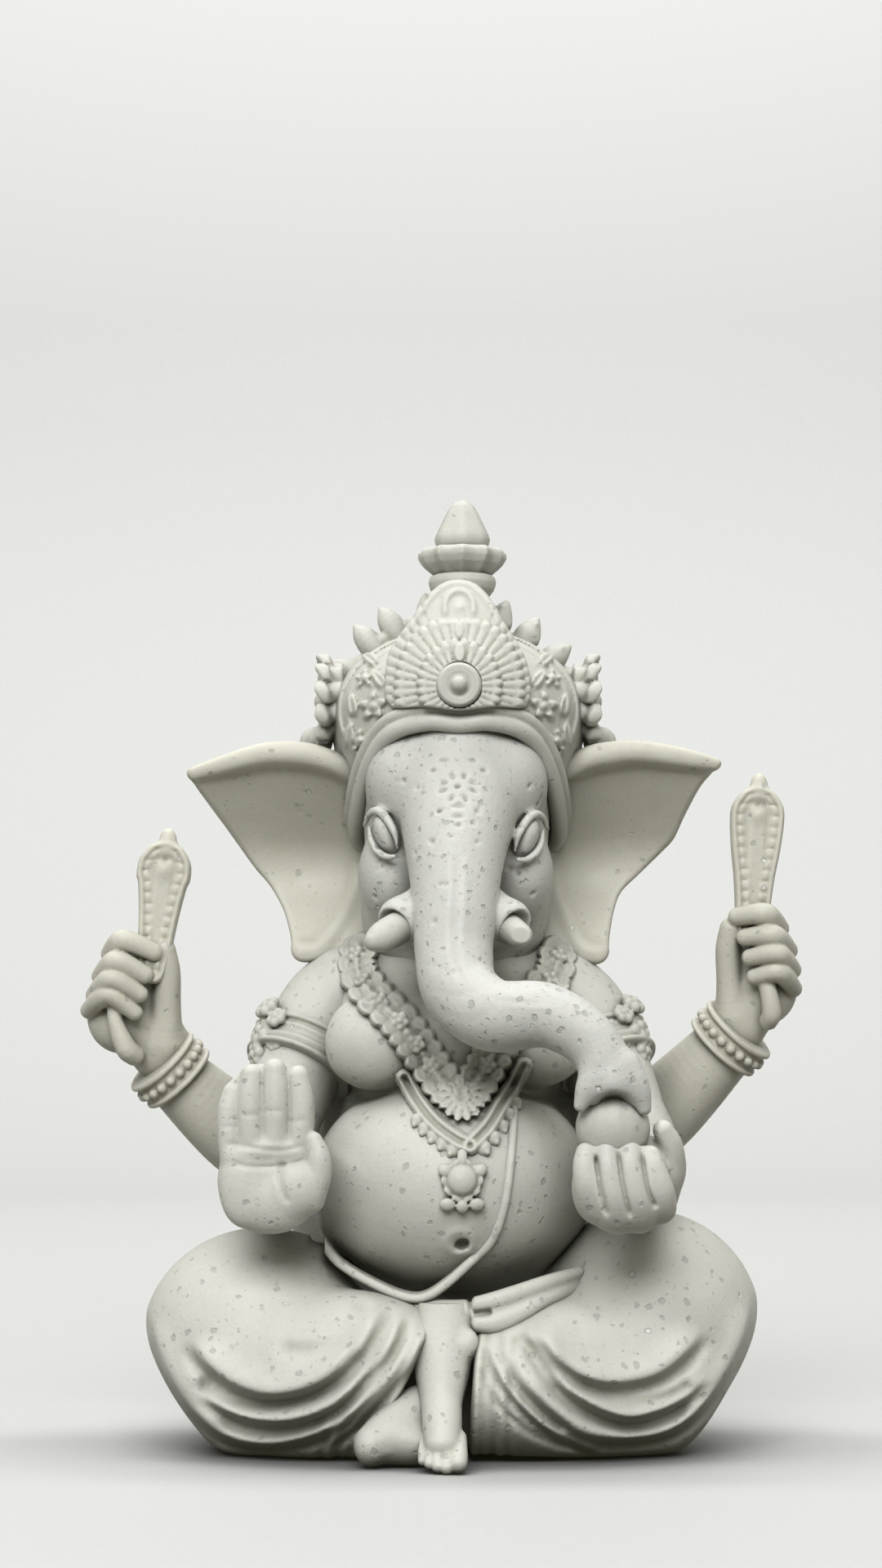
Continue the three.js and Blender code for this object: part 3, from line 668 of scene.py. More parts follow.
def backdrop():
    """A seamless floor that curves up into a wall behind the idol."""
    bend, back, front, wide, tall = 0.5, 0.9, -1.6, 2.4, 2.2
    profile = [(front, 0.0), (back, 0.0)]
    for step in range(1, 13):
        angle = math.radians(90 * step / 12)
        profile.append((back + bend * math.sin(angle), bend - bend * math.cos(angle)))
    profile.append((back + bend, tall))
    columns = [-wide, -wide / 3, wide / 3, wide]
    points = [(x, y, z) for y, z in profile for x in columns]
    count = len(columns)
    faces = [
        (r * count + c, r * count + c + 1, (r + 1) * count + c + 1, (r + 1) * count + c)
        for r in range(len(profile) - 1)
        for c in range(count - 1)
    ]
    mesh = bpy.data.meshes.new("backdrop")
    mesh.from_pydata(points, [], faces)
    mesh.polygons.foreach_set("use_smooth", np.ones(len(faces), bool))
    material = bpy.data.materials.new("pale_paper")
    nodes = Nodes(material)
    place = nodes.make("ShaderNodeTexCoord").outputs["Object"]
    fibre = nodes.ramp(nodes.noise(place, 900.0, 3.0).outputs["Fac"], 0.3, 0.7)
    colour = nodes.mix(fibre, (0.62, 0.63, 0.63, 1.0), (0.64, 0.65, 0.65, 1.0))
    # painted contact shadow: the floor is darkened where the idol shuts the light out
    painted_contact_shadow = nodes.maths("MULTIPLY", recess(nodes, 0.03, 0.3, 0.95), 0.8)
    colour = nodes.mix(painted_contact_shadow, colour, (0.1, 0.1, 0.1, 1.0))
    shader = nodes.make("ShaderNodeBsdfPrincipled")
    nodes.set(shader, Base_Color=colour, Roughness=0.6, Specular_IOR_Level=0.25)
    nodes.finish(shader)
    mesh.materials.append(material)
    floor = bpy.data.objects.new("backdrop", mesh)
    bpy.context.scene.collection.objects.link(floor)
    floor.visible_diffuse = False


def softbox(name, place, target, size, power):
    light = bpy.data.lights.new(name, "AREA")
    light.shape = "RECTANGLE"
    light.size, light.size_y = size
    light.energy = power
    lamp = bpy.data.objects.new(name, light)
    lamp.location = place
    aim = Vector(target) - Vector(place)
    lamp.rotation_euler = aim.to_track_quat("-Z", "Y").to_euler()
    bpy.context.scene.collection.objects.link(lamp)


def sky():
    """A dim warm room: darker below, lighter above."""
    world = bpy.data.worlds.new("studio")
    nodes = Nodes(world)
    facing = nodes.make("ShaderNodeTexCoord").outputs["Generated"]
    split = nodes.set(nodes.make("ShaderNodeSeparateXYZ"), Vector=facing)
    slope = nodes.fill(nodes.make("ShaderNodeMapRange"), (split.outputs["Z"], -0.4, 0.6))
    colour = nodes.mix(slope, (0.07, 0.062, 0.04, 1.0), (0.255, 0.245, 0.2, 1.0))
    shader = nodes.set(nodes.make("ShaderNodeBackground"), Color=colour)
    nodes.finish(shader, "ShaderNodeOutputWorld")
    bpy.context.scene.world = world


backdrop()
heart = (middle_x, 0.0, 0.08)
softbox("key_softbox", (-0.1, -0.84, 0.68), heart, (0.75, 0.55), 9.9)
softbox("left_softbox", (-0.75, -0.35, 0.3), heart, (0.4, 0.6), 0.5)
softbox("right_softbox", (0.8, -0.2, 0.35), heart, (0.4, 0.6), 0.3)
softbox("wall_light", (0.0, 0.3, 1.5), (0.0, 1.4, 0.6), (2.4, 0.6), 34.0)
sky()
bpy.context.scene.view_settings.view_transform = "Standard"

# ---------------------------------------------------------------------------------------------------------
# The body and the legs

torso_at = Spot("torso")


def model_torso(clay):
    """The naked torso. Ornaments that lie on it build it again on a finer grid, to fit it exactly."""
    at = torso_at
    clay.add(Lump(at(0, 11.3, 7), (22, 17, 30)), 0, 12)
    clay.add(Lump(at(0, 7.3, -22), (28, 23, 20)), 6, 12)
    clay.add(Lump(at(0, 12.3, -7), (26, 12, 12)), 6, 12)
    clay.add(Lump(at(0, 8.3, 35.5), (19, 8, 6.5)), 4, 12)
    clay.add(Lump(at(0, 5.3, 30), (24.5, 10, 9)), 6, 12)
    clay.add(Lump(at(0, 2.3, 23), (19.5, 18, 13)), 5, 12)
    clay.add(Lump(at(-0.5, -5.7, 1), (22, 24.3, 17.5)), 3.5, 12)
    clay.add(Lump(at(-12.6, -11.5, 23), (7.6, 7.2, 7.8)), 1.6, 12)
    clay.add(Lump(at(13, -11.3, 23.6), (7.6, 7.2, 7.8)), 1.6, 12)
    return clay


def torso():
    at = torso_at
    clay = model_torso(Clay(at.low - (1, 3, 0), at.high + (1, 1, 1), 0.42))
    navel = Route(at.flat([(0.1, -6.7), (0.8, -6.5)]))

    def front(x, z):
        height = ridge(x, z, at.flat([(-21, 17.5), (-15, 15), (-8.5, 15.5), (-3, 18)]), 1.3, -0.9)
        height += ridge(x, z, at.flat([(21, 18), (15, 15.5), (9, 15.5), (4, 18)]), 1.3, -0.9)
        height += ridge(x, z, at.flat([(-16, 7), (-19, 1), (-18, -6), (-13, -12)]), 3.5, 0.35)
        height += ridge(x, z, at.flat([
            (-19, -8.5), (-12, -13.8), (-4, -16.2), (4, -16), (12, -13.5),
        ]), 1.6, -0.8)
        gap, _, _ = navel.measure(x, z)
        return height + 0.3 * bump(gap - 1.6, 0.7)

    clay.press(front, back=-6, fade=5)
    x, _, z = at(0.9, 3.3, -7)
    clay.cut(Lump((x, clay.front(x, z) + 0.2, z), (1.15, 1.9, 0.95), (0, -20, 0)), 0.35)

    def rear(x, z):
        spine = ridge(x, z, at.flat([(0, 33), (0, 21), (0, 6), (0, -7)]), 2.2, -1.3)
        waist = ridge(x, z, at.flat([(-24, -10), (-12, -12.5), (0, -13), (12, -12.5), (24, -10)]), 1.6, 1.1)
        tuck = ridge(x, z, at.flat([(-24, -7), (-12, -9.8), (0, -10.2), (12, -9.8), (24, -7)]), 1.2, -0.7)
        blades = ridge(x, z, at.flat([(-12, 29), (-9.5, 21), (-8, 14)]), 3.2, 0.8, 0.5)
        blades += ridge(x, z, at.flat([(12, 29), (9.5, 21), (8, 14)]), 3.2, 0.8, 0.5)
        folds = 0
        # the ends of the folds of the cloth stand this far above the ground
        for level in (23, 17, 11, 5.5):
            line = [(-26, level), (-13, level - 4), (0, level - 5.5), (13, level - 4), (26, level)]
            folds += fold(x, z, line, 1.7, 0.8, 1)
        return spine + waist + tuck + blades + folds

    x, y, z = clay.everywhere()
    height = rear(x[:, 0], z[0]).astype(np.float32)[:, None, :]
    clay.field -= height * smooth_step(2, 9, y)
    clay.stand(at.low[2])
    cast("carved_torso", clay, ["torso"], "marble_body")


HEM_DEPTH = torso_at(0, -21.7, -39)[1]  # behind this the cloth runs on past its hem
FLANK_OUT, FLANK_UP = 0.839, 0.545  # which way the outer side of a leg faces, 33 degrees below level


def leg(name, node, side, knee, thigh, shin, rise, sink, hem_line, flank):
    """A folded leg in its draped cloth, with its folds (rise) and grooves (sink) as seen from the front."""
    at = Spot(node)
    edge = at.flat(hem_line)
    flank = at(*flank)

    def relief(x, z):
        height = sum(fold(x, z, at.flat(line), width, amount, side) for line, width, amount in rise)
        height += sum(ridge(x, z, at.flat(line), width, amount) for line, width, amount in sink)
        return height + hem(x, z, edge, side)

    clay = Clay(at.low - (1.5, 1.5, 0), at.high + (1.5, 2.5, 1.5), 0.4)
    clay.add(Limb(at.path(thigh)), 0, 8)
    clay.add(Limb(at.path(shin)), 4, 8)
    clay.add(Lump(at(*knee[0]), knee[1]), 3, 8)
    clay.press(relief, back=2, fade=9)
    x, y, z = clay.everywhere()
    # the outer side slopes in to the floor
    clay.keep(FLANK_OUT * side * (x - flank[0]) - FLANK_UP * (z - flank[2]), 5)
    # in front the cloth ends at its hem, where the foot comes out
    rising = edge[::-1]
    beyond = side * (np.interp(z, [p[1] for p in rising], [p[0] for p in rising]) - x)
    clay.keep(beyond - np.maximum(y - HEM_DEPTH, 0), 1.2)
    height = back_folds(y[0], z[0]).astype(np.float32)[None, :, :]
    clay.field -= height * smooth_step(at.mid[1] + 6, at.mid[1] + 16, y)
    floor = at.low[2]
    clay.keep(floor - z, 1.6)
    clay.stand(floor)
    cast(name, clay, [node], "marble_body")


def right_leg():
    rise = [
        ([
            (12.3, 7), (11, 3.6), (7.7, -1.3), (2.3, -4.6), (-3.7, -6), (-9.4, -4.6), (-13.4, -1.7),
            (-15.5, 1.6),
        ], 1.7, 1.7),
        ([
            (15, 5.6), (14, 2), (11, -2.3), (5.7, -7.3), (-1, -9.8), (-7, -9.8), (-11.7, -8),
            (-14.4, -5.6),
        ], 1.4, 1.35),
        ([
            (16.2, 3.6), (15.4, 0.3), (13, -3.7), (9, -7.6), (5.7, -10.3), (1.7, -12.2), (-4.3, -13.7),
            (-10.4, -12.9), (-15.7, -9.3), (-19.4, -4.3), (-21.5, 1), (-22, 5),
        ], 1.5, 1.1),
        ([(18.7, 3), (17.4, -0.3), (14.4, -4.3), (10.4, -8.3), (7.4, -11.6), (3.6, -14.3)], 1.0, 0.95),
    ]
    sink = [
        ([(10.3, 7.6), (9, 4.3), (6.6, 1.6), (4, 0.2), (1, -0.3), (-3.4, 0.2)], 1.3, -0.8),
        ([
            (10, 1), (7.3, -2.7), (3, -6.3), (-2.7, -8), (-8.4, -8), (-12.7, -6.6), (-14.9, -4.3),
        ], 1.1, -1.5),
        ([
            (13.4, 0), (9, -5.6), (5, -9.3), (0.7, -11.6), (-4.3, -12.6), (-8.4, -12.2),
            (-12.7, -10.3),
        ], 0.9, -1.2),
        ([(19, 1.6), (17.7, -1.7), (15, -6.3), (11, -10.3), (8.5, -13.2)], 0.7, -0.8),
        ([(7.6, 12.7), (4.6, 14), (0.6, 14.8)], 0.9, -0.9),
    ]
    edge = [(20, 3.6), (18, -1.4), (15.6, -6), (12.6, -10.4), (10.2, -13.6), (9.1, -16.8)]
    knee = ((-6.4, 1.3, -0.8), (18.5, 19.5, 17.5))
    thigh = [(13.6, 14.8, -0.8, 13.6), (4.6, 9.8, -0.4, 14.6), (-4.4, 4.8, -0.6, 14.8)]
    shin = [
        (-5.9, -7.2, -5.8, 12.4), (3.6, -11.7, -4.6, 12.8), (11.6, -13.2, -3.8, 11.4),
        (17.6, -15.2, -4.8, 9.4),
    ]
    leg("draped_right_leg", "right_leg", -1, knee, thigh, shin, rise, sink, edge, (-23, 12.8, -4.8))


def left_leg():
    rise = [
        ([
            (-11.8, 2.7), (-9.8, 0.7), (-7.1, -2.6), (-3.1, -4.6), (1.6, -5.1), (6.9, -3.9),
            (11, -0.9), (13.4, 2.3),
        ], 1.6, 1.5),
        ([
            (-13.4, 2.9), (-11.8, 0.7), (-7.8, -4.6), (-3.8, -7.9), (1.6, -10.2), (6.6, -9.5),
            (10.9, -7.5), (14.3, -4.2),
        ], 1.5, 1.5),
        ([
            (-16.5, 2.1), (-13.5, -4.2), (-9.8, -8.3), (-4.5, -12.5), (1.5, -13.6), (8.2, -12.8),
            (13.3, -9.2), (18, -3.2), (20.4, 2.1), (20.9, 6.7),
        ], 1.5, 1.2),
        ([
            (-18.6, 1.1), (-16.8, -3.9), (-13.6, -8.3), (-9.4, -12.1), (-4.6, -14.7), (-1.2, -16.1),
        ], 1.0, 1.0),
    ]
    sink = [
        ([(-9.8, -0.9), (-5.1, -5.5), (0.2, -8.2), (4.9, -8.5), (9.6, -7.5), (12, -5.5)], 1.1, -1.3),
        ([
            (-11.1, -4.6), (-6.5, -8.9), (-1.8, -11.5), (3.2, -12.5), (8.2, -11.5), (11.9, -8.9),
        ], 0.9, -1.1),
        ([(-17, -0.9), (-14.5, -5.9), (-10.5, -10.2), (-6.5, -12.6)], 0.7, -0.7),
        ([(-19.7, -2.7), (-18.2, -6.7), (-15.8, -10), (-11.2, -13.5), (-5.5, -16.1)], 0.6, -0.6),
    ]
    edge = [(-20, 2.7), (-20.6, -2.7), (-21.1, -8.7), (-21.3, -13.7), (-21.4, -17.7)]
    knee = ((6.4, 1.4, 0.5), (17.6, 19.5, 18))
    thigh = [(-13.2, 14.9, -1.2, 13.6), (-4.2, 10.9, 0.3, 15), (4.8, 4.9, 1.1, 15)]
    shin = [
        (6.3, -6.1, -6.7, 12.2), (-3.2, -11.1, -5.9, 12.4), (-12.2, -14.1, -6.7, 10.8),
        (-17.7, -15.1, -7.5, 9.4),
    ]
    leg("draped_left_leg", "left_leg", 1, knee, thigh, shin, rise, sink, edge, (21.4, 12.9, -4.9))


def hem(x, z, points, drop):
    """The rolled edge of the cloth, with the small pleats that gather behind it."""
    gap, side, along = Route(points).measure(x, z)
    signed = gap * side * drop
    fade = smooth_step(0, 0.1, along)
    pleats = 0.28 * np.cos(2 * math.pi * signed / 2.3) * bump(signed - 4.4, 2.6)
    return fade * (0.8 * bump(signed - 0.6, 0.7) + pleats - 0.5 * bump(signed + 0.8, 0.6))


def back_folds(y, z):
    """Long folds round the back of a leg, by (y, z)."""
    height = 0.0
    for level in (4.5, 10.0, 15.5, 21.0):
        gap = z - level - 0.16 * (y - 4)
        swell = np.where(gap > 0, bump(gap, 2.1), bump(gap, 0.9))
        height = height + 0.7 * (swell - 0.6 * bump(gap + 1.6, 0.8))
    return height


def right_foot():
    at = Spot("right_foot")
    clay = Clay(at.low - (1, 1, 0), at.high + (1, 1, 1), 0.24)
    clay.add(Limb(at.path([
        (-0.6, 10, 9.6, 4.9), (-1, 6.9, 6.3, 4.7), (-1.1, 3.7, 2.5, 4), (-1.2, 0.7, -1.3, 3.1),
        (-1.1, -2.1, -4.5, 2.9), (-1.1, -4.3, -7.1, 2.6),
    ])), 0)
    clay.add(Lump(at(2.9, 4.3, 6.7), (1.5, 2.0, 2.0)), 1.4)
    toes = [
        (-3.9, -4.5, -7.7, 0.75), (-2.9, -5.5, -8, 0.85), (-1.7, -6.2, -8.3, 0.95), (-0.4, -6.6, -8.5, 1),
    ]
    for x, y, z, thick in at.path(toes):
        root = (x + 0.2, y + 2.6, z + 1.6, thick * 0.9)
        clay.add(Limb([root, (x, y - 0.2, z - 0.6, thick), (x, y - 1.2, z - 1.5, thick * 0.95)]), 0.35)
    clay.add(Limb(at.path([(1.2, -3, -6.3, 1.3), (1.3, -6.1, -8.7, 1.35), (1.2, -7.7, -9.4, 1.3)])), 0.4)
    clay.stand(at.low[2])
    cast("hanging_right_foot", clay, ["right_foot"], "marble_body")


def left_foot():
    at = Spot("left_foot")
    clay = Clay(at.low - (1, 1, 0.7), at.high + (1, 1, 2), 0.26)
    clay.add(Limb(at.path([
        (4, 4.1, 3.6, 3.4), (0.5, 1.7, 2, 3.8), (-2.9, -0.9, -0.2, 3.6), (-5.5, -2.7, -1.8, 2.9),
    ])), 0)
    clay.add(Lump(at(-0.5, -2.1, -2), (5.4, 3.2, 3.0)), 2)
    clay.add(Lump(at(-6.1, -3.5, -2.4), (2.2, 2.6, 2.6)), 0.9)
    for step in range(4):
        x, y, z = at(-7.1 + 0.75 * step, -1.3 - 1.1 * step, -0.8 - 0.65 * step)
        toe = [(x + 1.6, y + 0.3, z + 0.3, 0.9), (x, y, z, 0.95), (x - 0.7, y - 0.2, z - 0.5, 0.85)]
        clay.add(Limb(toe), 0.35)
    clay.stand(0)
    cast("tucked_left_foot", clay, ["left_foot"], "marble_body")


def sash():
    at = Spot("waist_sash")
    clay = Clay(at.low - 1, at.high + 1, 0.3)
    band = at.path([
        (-7.9, 1.6, -1.2, 2.2), (-3.9, -2, -1.3, 2.4), (2.1, -3.4, -1.3, 2.5), (8.1, -3, -0.3, 2.4),
        (14.1, -0.4, 1.4, 2), (20.1, 4.6, 3.8, 1.5),
    ])
    upper = at.path([
        (3, -5, 0.5, 1.2), (6.1, -5.2, 1.2, 1.35), (10.1, -3.8, 2.4, 1.3), (14.1, -1.4, 3.6, 1.2),
        (18.7, 2.2, 4.8, 0.9),
    ])
    lower = at.path([
        (3, -6, -2.2, 1.4), (6.1, -6.2, -2, 1.6), (9.5, -5, -0.8, 1.5), (12.7, -3, 0.8, 1.2),
        (16.1, 0, 2.4, 0.8),
    ])
    for roll, soft in ((band, 0), (upper, 0.6), (lower, 0.6)):
        clay.add(Limb(roll), soft, 3)
    slit = at.flat([(2.5, -0.7), (3.9, -0.7), (5.5, -0.5)])
    seam = at.flat([(2.2, 1.8), (2.2, -1), (2.3, -3.8)])
    clay.press(lambda x, z: ridge(x, z, slit, 0.4, -0.9) + ridge(x, z, seam, 0.35, -0.6))
    cast("wrapped_waist_sash", clay, ["waist_sash"], "marble_body")


torso()
right_leg()
left_leg()
right_foot()
left_foot()
sash()

# ---------------------------------------------------------------------------------------------------------
# The head and the trunk

TRUNK = Spot("head").path([
    (0.3, -7.5, 10.5, 11.5), (0.3, -11, 5.5, 10.8), (0.3, -16.2, 0.5, 9), (0, -20.6, -5, 7.7),
    (-0.1, -24, -10.5, 6.8), (-0.2, -26.6, -16, 6.3), (-0.3, -28.6, -21.2, 5.9),
    (0.7, -31.8, -26.7, 5.7), (5.5, -36, -30.5, 5.4), (13, -39.2, -30.5, 4.8), (18.9, -41, -33.7, 4.2),
    (22, -42, -38.1, 4), (22.6, -42.2, -40.3, 4.4),
])


def model_head(clay):
    at = Spot("head")
    clay.add(Lump(at(0.2, 0, 3.4), (15, 19.3, 19)), 0, 8)
    for side in (-1, 1):
        clay.add(Lump(at(0.2 + side * 6.6, -10.5, 6.6), (7.6, 8.2, 8.5)), 2.5, 6)
        clay.add(Lump(at(0.1 + side * 9.4, -6.6, -8.0), (6.0, 8.6, 8.0)), 2.5, 6)
        clay.add(Lump(at(side * 9.5, 1, -13), (5.5, 9, 9)), 3, 6)
    clay.add(Lump(at(0, -7, -15.4), (9, 9, 6)), 3, 6)
    clay.add(Lump(at(0.2, 4.5, -6), (13.6, 14.5, 13)), 4, 6)
    clay.add(Limb(at.path([(0, 3, -8.5, 11.5), (0, 4, -20.5, 11.5)])), 3, 6)
    return clay


LID_MIDDLE = 0.1
WRINKLES = ((-5, 74), (-4.6, 70.5), (-3, 67))
# the arcs and dots of the forehead mark, as (x, z, half width) from its middle
FOREHEAD_MARKS = (
    (0, -3.2, 1.7), (0, -4.8, 1.2), (0, -6.2, 0.7), (-3, -4, 0.6), (3, -4, 0.6),
    (-2.4, 4.2, 0.9), (2.4, 4.2, 0.9), (-4, 2.6, 0.6), (4, 2.6, 0.6), (0, 0, 0.6),
)


def head_and_trunk():
    at = Spot("head")
    trunk = Spot("trunk")
    low = np.minimum(at.low, trunk.low) - 1
    high = np.maximum(at.high, trunk.high) + 1
    clay = model_head(Clay(low, high, 0.3))
    # eye sockets, between the brow, the trunk and the cheeks
    for side in (-1, 1):
        clay.cut(Lump(at(side * 10.6, -17.6, -2.2), (2.2, 4.2, 3.7), (0, side * 22, 0)), 0.8)
    clay.add(Limb(TRUNK, 6), 1.4, 3)
    # flared sleeves that hold the tusks
    clay.add(Limb(at.path([
        (-4.5, -19.5, -12.1, 2.4), (-6.4, -22, -14.3, 3.1), (-8.2, -24.2, -15.9, 3.7),
    ])), 0.8, 2)
    clay.add(Limb(at.path([
        (4.7, -19.8, -12.3, 2.4), (6.4, -22.2, -14.6, 3), (8, -24.4, -16.1, 3.5),
    ])), 0.8, 2)
    clay.cut(Lump(at(-10.3, -26.6, -17.6), (3.3, 3.3, 3.3)), 0.5)
    clay.cut(Lump(at(9.9, -26.6, -17.6), (3.1, 3.1, 3.1)), 0.5)
    # the two lips at the tip of the trunk
    clay.add(Limb(at.path([(20.4, -43.4, -38, 2), (19, -44.2, -40.9, 1.7), (18, -44.2, -43.6, 1)])), 1.4, 2)
    clay.add(Limb(at.path([
        (24.8, -43, -38, 2.1), (26.4, -43.6, -41.1, 1.8), (27.3, -43.4, -44, 1.1),
    ])), 1.4, 2)
    clay.cut(Lump(at(22.8, -46.5, -44.4), (2.9, 5.4, 2.7)), 0.9)

    upper_lid = [
        (14.4, -11, -0.6, 0.3), (13.7, -12.9, 0.8, 0.5), (12.7, -14.6, 1.5, 0.62),
        (11.6, -15.9, 1.1, 0.68), (10.6, -16.8, -0.1, 0.68), (9.7, -17.6, -1.7, 0.6),
        (9.3, -17.7, -3, 0.4), (9.1, -17.6, -4.5, 0.2),
    ]
    lower_lid = [
        (13.5, -12.4, -1.1, 0.4), (13.2, -13.4, -3, 0.55), (12.3, -14.6, -4.7, 0.6),
        (10.9, -16, -5.7, 0.55), (9.5, -17.2, -5.8, 0.4),
    ]

    bridge = at.flat([(0.2, -5.5), (0.1, -12.5), (-0.2, -19.5), (0.8, -25), (6, -28.1), (13, -28.9)])

    def relief(x, z):
        height = ridge(x, z, bridge, 0.55, -0.14, 0.05)
        for shift in (-1.3, 1.3):
            line = [(px + shift * 0.9, pz - shift * 0.5) for px, pz in bridge]
            height += ridge(x, z, line, 0.5, 0.09, 0.05)
        # faint wrinkles across the bend of the trunk, by where they start
        for px, pz in WRINKLES:
            line = [(px, pz), (px + 5, pz - 1.6), (px + 9.5, pz + 0.5)]
            height += ridge(x, z, line, 0.6, -0.07, 0.2)
        return height

    clay.press(relief, back=-14, fade=3)
    # the lids: a thin sharp lip over the eye and a softer one under it, the same on both sides of
    # LID_MIDDLE but a little lower on the idol's left
    lids = [(upper_lid, 0.8), (lower_lid, 1.2)]
    for line, soft in lids:
        for side, sunk in ((-1, 0), (1, 0.5)):
            shifted = [(LID_MIDDLE + side * x, y, z - sunk, thick) for x, y, z, thick in line]
            clay.add(Limb(at.path(shifted), 5), soft, 1)
    # a forehead mark of petals, dots and small arcs
    centre = at(0.4, 0, 4.6)
    for step in range(8):
        turn = 2 * math.pi * (step + 0.5) / 8
        x, z = centre[0] + 2.6 * math.sin(turn), centre[2] + 1.9 * math.cos(turn)
        clay.cut(Lump((x, clay.front(x, z) - 0.1, z), (0.42, 0.6, 0.85), (0, math.degrees(turn), 0)), 0.25)
    for x, z, wide in FOREHEAD_MARKS:
        x, z = centre[0] + x, centre[2] + z
        clay.cut(Lump((x, clay.front(x, z) - 0.1, z), (wide, 0.6, 0.42)), 0.25)
    pits(clay, (-13, 13), (80, 104), 30)
    cast("carved_head_and_trunk", clay, ["head", "trunk"], "marble_face")


def pits(clay, across, up, count):
    """Presses small shallow casting pits into the front of the clay."""
    for _ in range(count):
        x, z = random.uniform(*across), random.uniform(*up)
        size = random.uniform(0.28, 0.62)
        y = clay.front(x, z)
        lean = random.uniform(-40, 40)
        clay.cut(Lump((x, y - 0.12, z), (size * 1.15, 0.5, size * 0.8), (0, lean, 0)), 0.2)


def eyes():
    for name, node, side in (("right_eyeball", "right_eye", -1), ("left_eyeball", "left_eye", 1)):
        at = Spot(node)
        clay = Clay(at.low - 1, at.high + 1, 0.2)
        clay.add(Lump(at(side * -0.1, 1.5, -0.6), (1.9, 2.5, 3.4), (0, side * 22, 0)))
        cast(name, clay, [node], "marble_face")


def tusks():
    for name, node, path in (
        ("broken_right_tusk", "right_tusk", [
            (3, 2.6, 3.9, 2.2), (0, -1.4, 1.4, 2.5), (-2.8, -4.4, -0.4, 2.4), (-4.3, -5.6, -1.2, 1.6),
        ]),
        ("short_left_tusk", "left_tusk", [
            (-1.8, 1.9, 3, 2.1), (0.8, -1.9, 0.5, 2.3), (2.4, -4.2, -0.8, 2.1), (3.2, -5.1, -1, 1.6),
        ]),
    ):
        at = Spot(node)
        clay = Clay(at.low - 1.5, at.high + 1.5, 0.22)
        clay.add(Limb(at.path(path)))
        cast(name, clay, [node], "marble_ornament")


# how thick the rolls of the ears are at each of their points
RIM_SHARES = (0.8, 1.0, 1.1, 1.1, 1.05, 0.95, 0.7, 0.4)
LOBE_SHARES = (0.5, 0.8, 1.0, 1.2, 1.4, 1.3)


def ear(name, node, side, outline, rim, inner):
    """A wide thin ear: a dished sheet with a rolled rim."""
    at = Spot(node)
    shape = closed_spline(at.flat(outline), 5)
    clay = Clay(at.low - (1.5, 3.5, 1.5), at.high + (2.5, 9, 1.5), 0.3)
    root = at.mid[0] - side * at.size[0] / 2
    top = at.high[2]

    def middle(x, z):
        out = (x - root) * side
        down = top - z
        overhang = 15 * smooth_step(-4, 25, down) - 9.5 * smooth_step(15, 39, down)
        dish = 1.2 * bump(np.hypot((out - 7) / 9, (down - 16) / 9), 1) - 0.004 * (out - 12) ** 2
        return at.low[1] + 2.6 + overhang + dish

    def half(x):
        return 1.25 + 0.5 * bump((x - root) * side, 5)

    clay.add(Sheet(shape, middle, half, at.low - (1.5, 3.5, 1.5), at.high + (1.5, 9, 1.5), 1.1))
    for line, shares, thick, lift in ((rim, RIM_SHARES, 1.75, 1.1), (inner, LOBE_SHARES, 1.0, 0.8)):
        path = []
        for (x, z), share in zip(at.flat(line), shares):
            y = float(middle(np.array([[x]]), np.array([[z]]))[0, 0])
            path.append((x, y - lift, z, thick * share))
        clay.add(Limb(path, 4), 1.5, 2)
    cast(name, clay, [node], "marble_thin")


def ears():
    outline = [
        (15.4, 5.7), (14, 11.7), (10.3, 14.3), (5.9, 16.2), (2.2, 16.8), (-1.6, 16.6), (-5.3, 15.7),
        (-10.5, 14.1), (-14.2, 12.9), (-13.1, 10.7), (-11.2, 8), (-8.2, 3.9), (-4.2, -1.7),
        (-1.5, -4.9), (0.7, -8.8), (1.9, -12.7), (2.5, -15.9), (4.2, -17.2), (7, -16.7), (9.2, -16.1),
        (12.8, -15.5), (16, -14.3), (16.4, -8.3), (16.2, -1.3),
    ]
    rim = [
        (13.4, 11.7), (9.8, 13.9), (5.9, 15.2), (2.2, 15.6), (-1.6, 15.5), (-5.3, 14.7), (-10.2, 13.3),
        (-13, 12.4),
    ]
    inner = [(12.8, -2.3), (12.2, -6.3), (10.8, -9.7), (8.6, -13.1), (6.4, -15.3), (4, -15.5)]
    ear("fanned_right_ear", "right_ear", -1, outline, rim, inner)
    outline = [
        (-15.3, 5.7), (-13.7, 11.7), (-9.9, 14.1), (-7, 16.1), (-4, 16.8), (0.5, 17.1), (6.4, 16.3),
        (10.9, 15.3), (13.9, 14.3), (12.7, 12.7), (10.9, 10.5), (8.7, 6.2), (7.2, 2.8), (5.3, 0.7),
        (1.6, -2.9), (-1.4, -5.9), (-2.7, -9.3), (-3.4, -12.7), (-3.9, -15.9), (-5.5, -17.4),
        (-7.5, -17.3), (-9.4, -16.3), (-12.7, -15.1), (-15.7, -14.3), (-16.1, -8.3), (-16.1, -1.3),
    ]
    rim = [
        (-13.3, 11.7), (-9.5, 13.7), (-6.7, 15), (-3.3, 15.6), (0.5, 15.9), (6.1, 15.2), (10.5, 14.4),
        (12.9, 13.9),
    ]
    inner = [(-12.7, -2.3), (-11.9, -6.3), (-10.7, -9.7), (-9.3, -13.1), (-7.7, -15.3), (-5.5, -15.9)]
    ear("fanned_left_ear", "left_ear", 1, outline, rim, inner)


head_and_trunk()
eyes()
tusks()
ears()

# ---------------------------------------------------------------------------------------------------------
# The crown


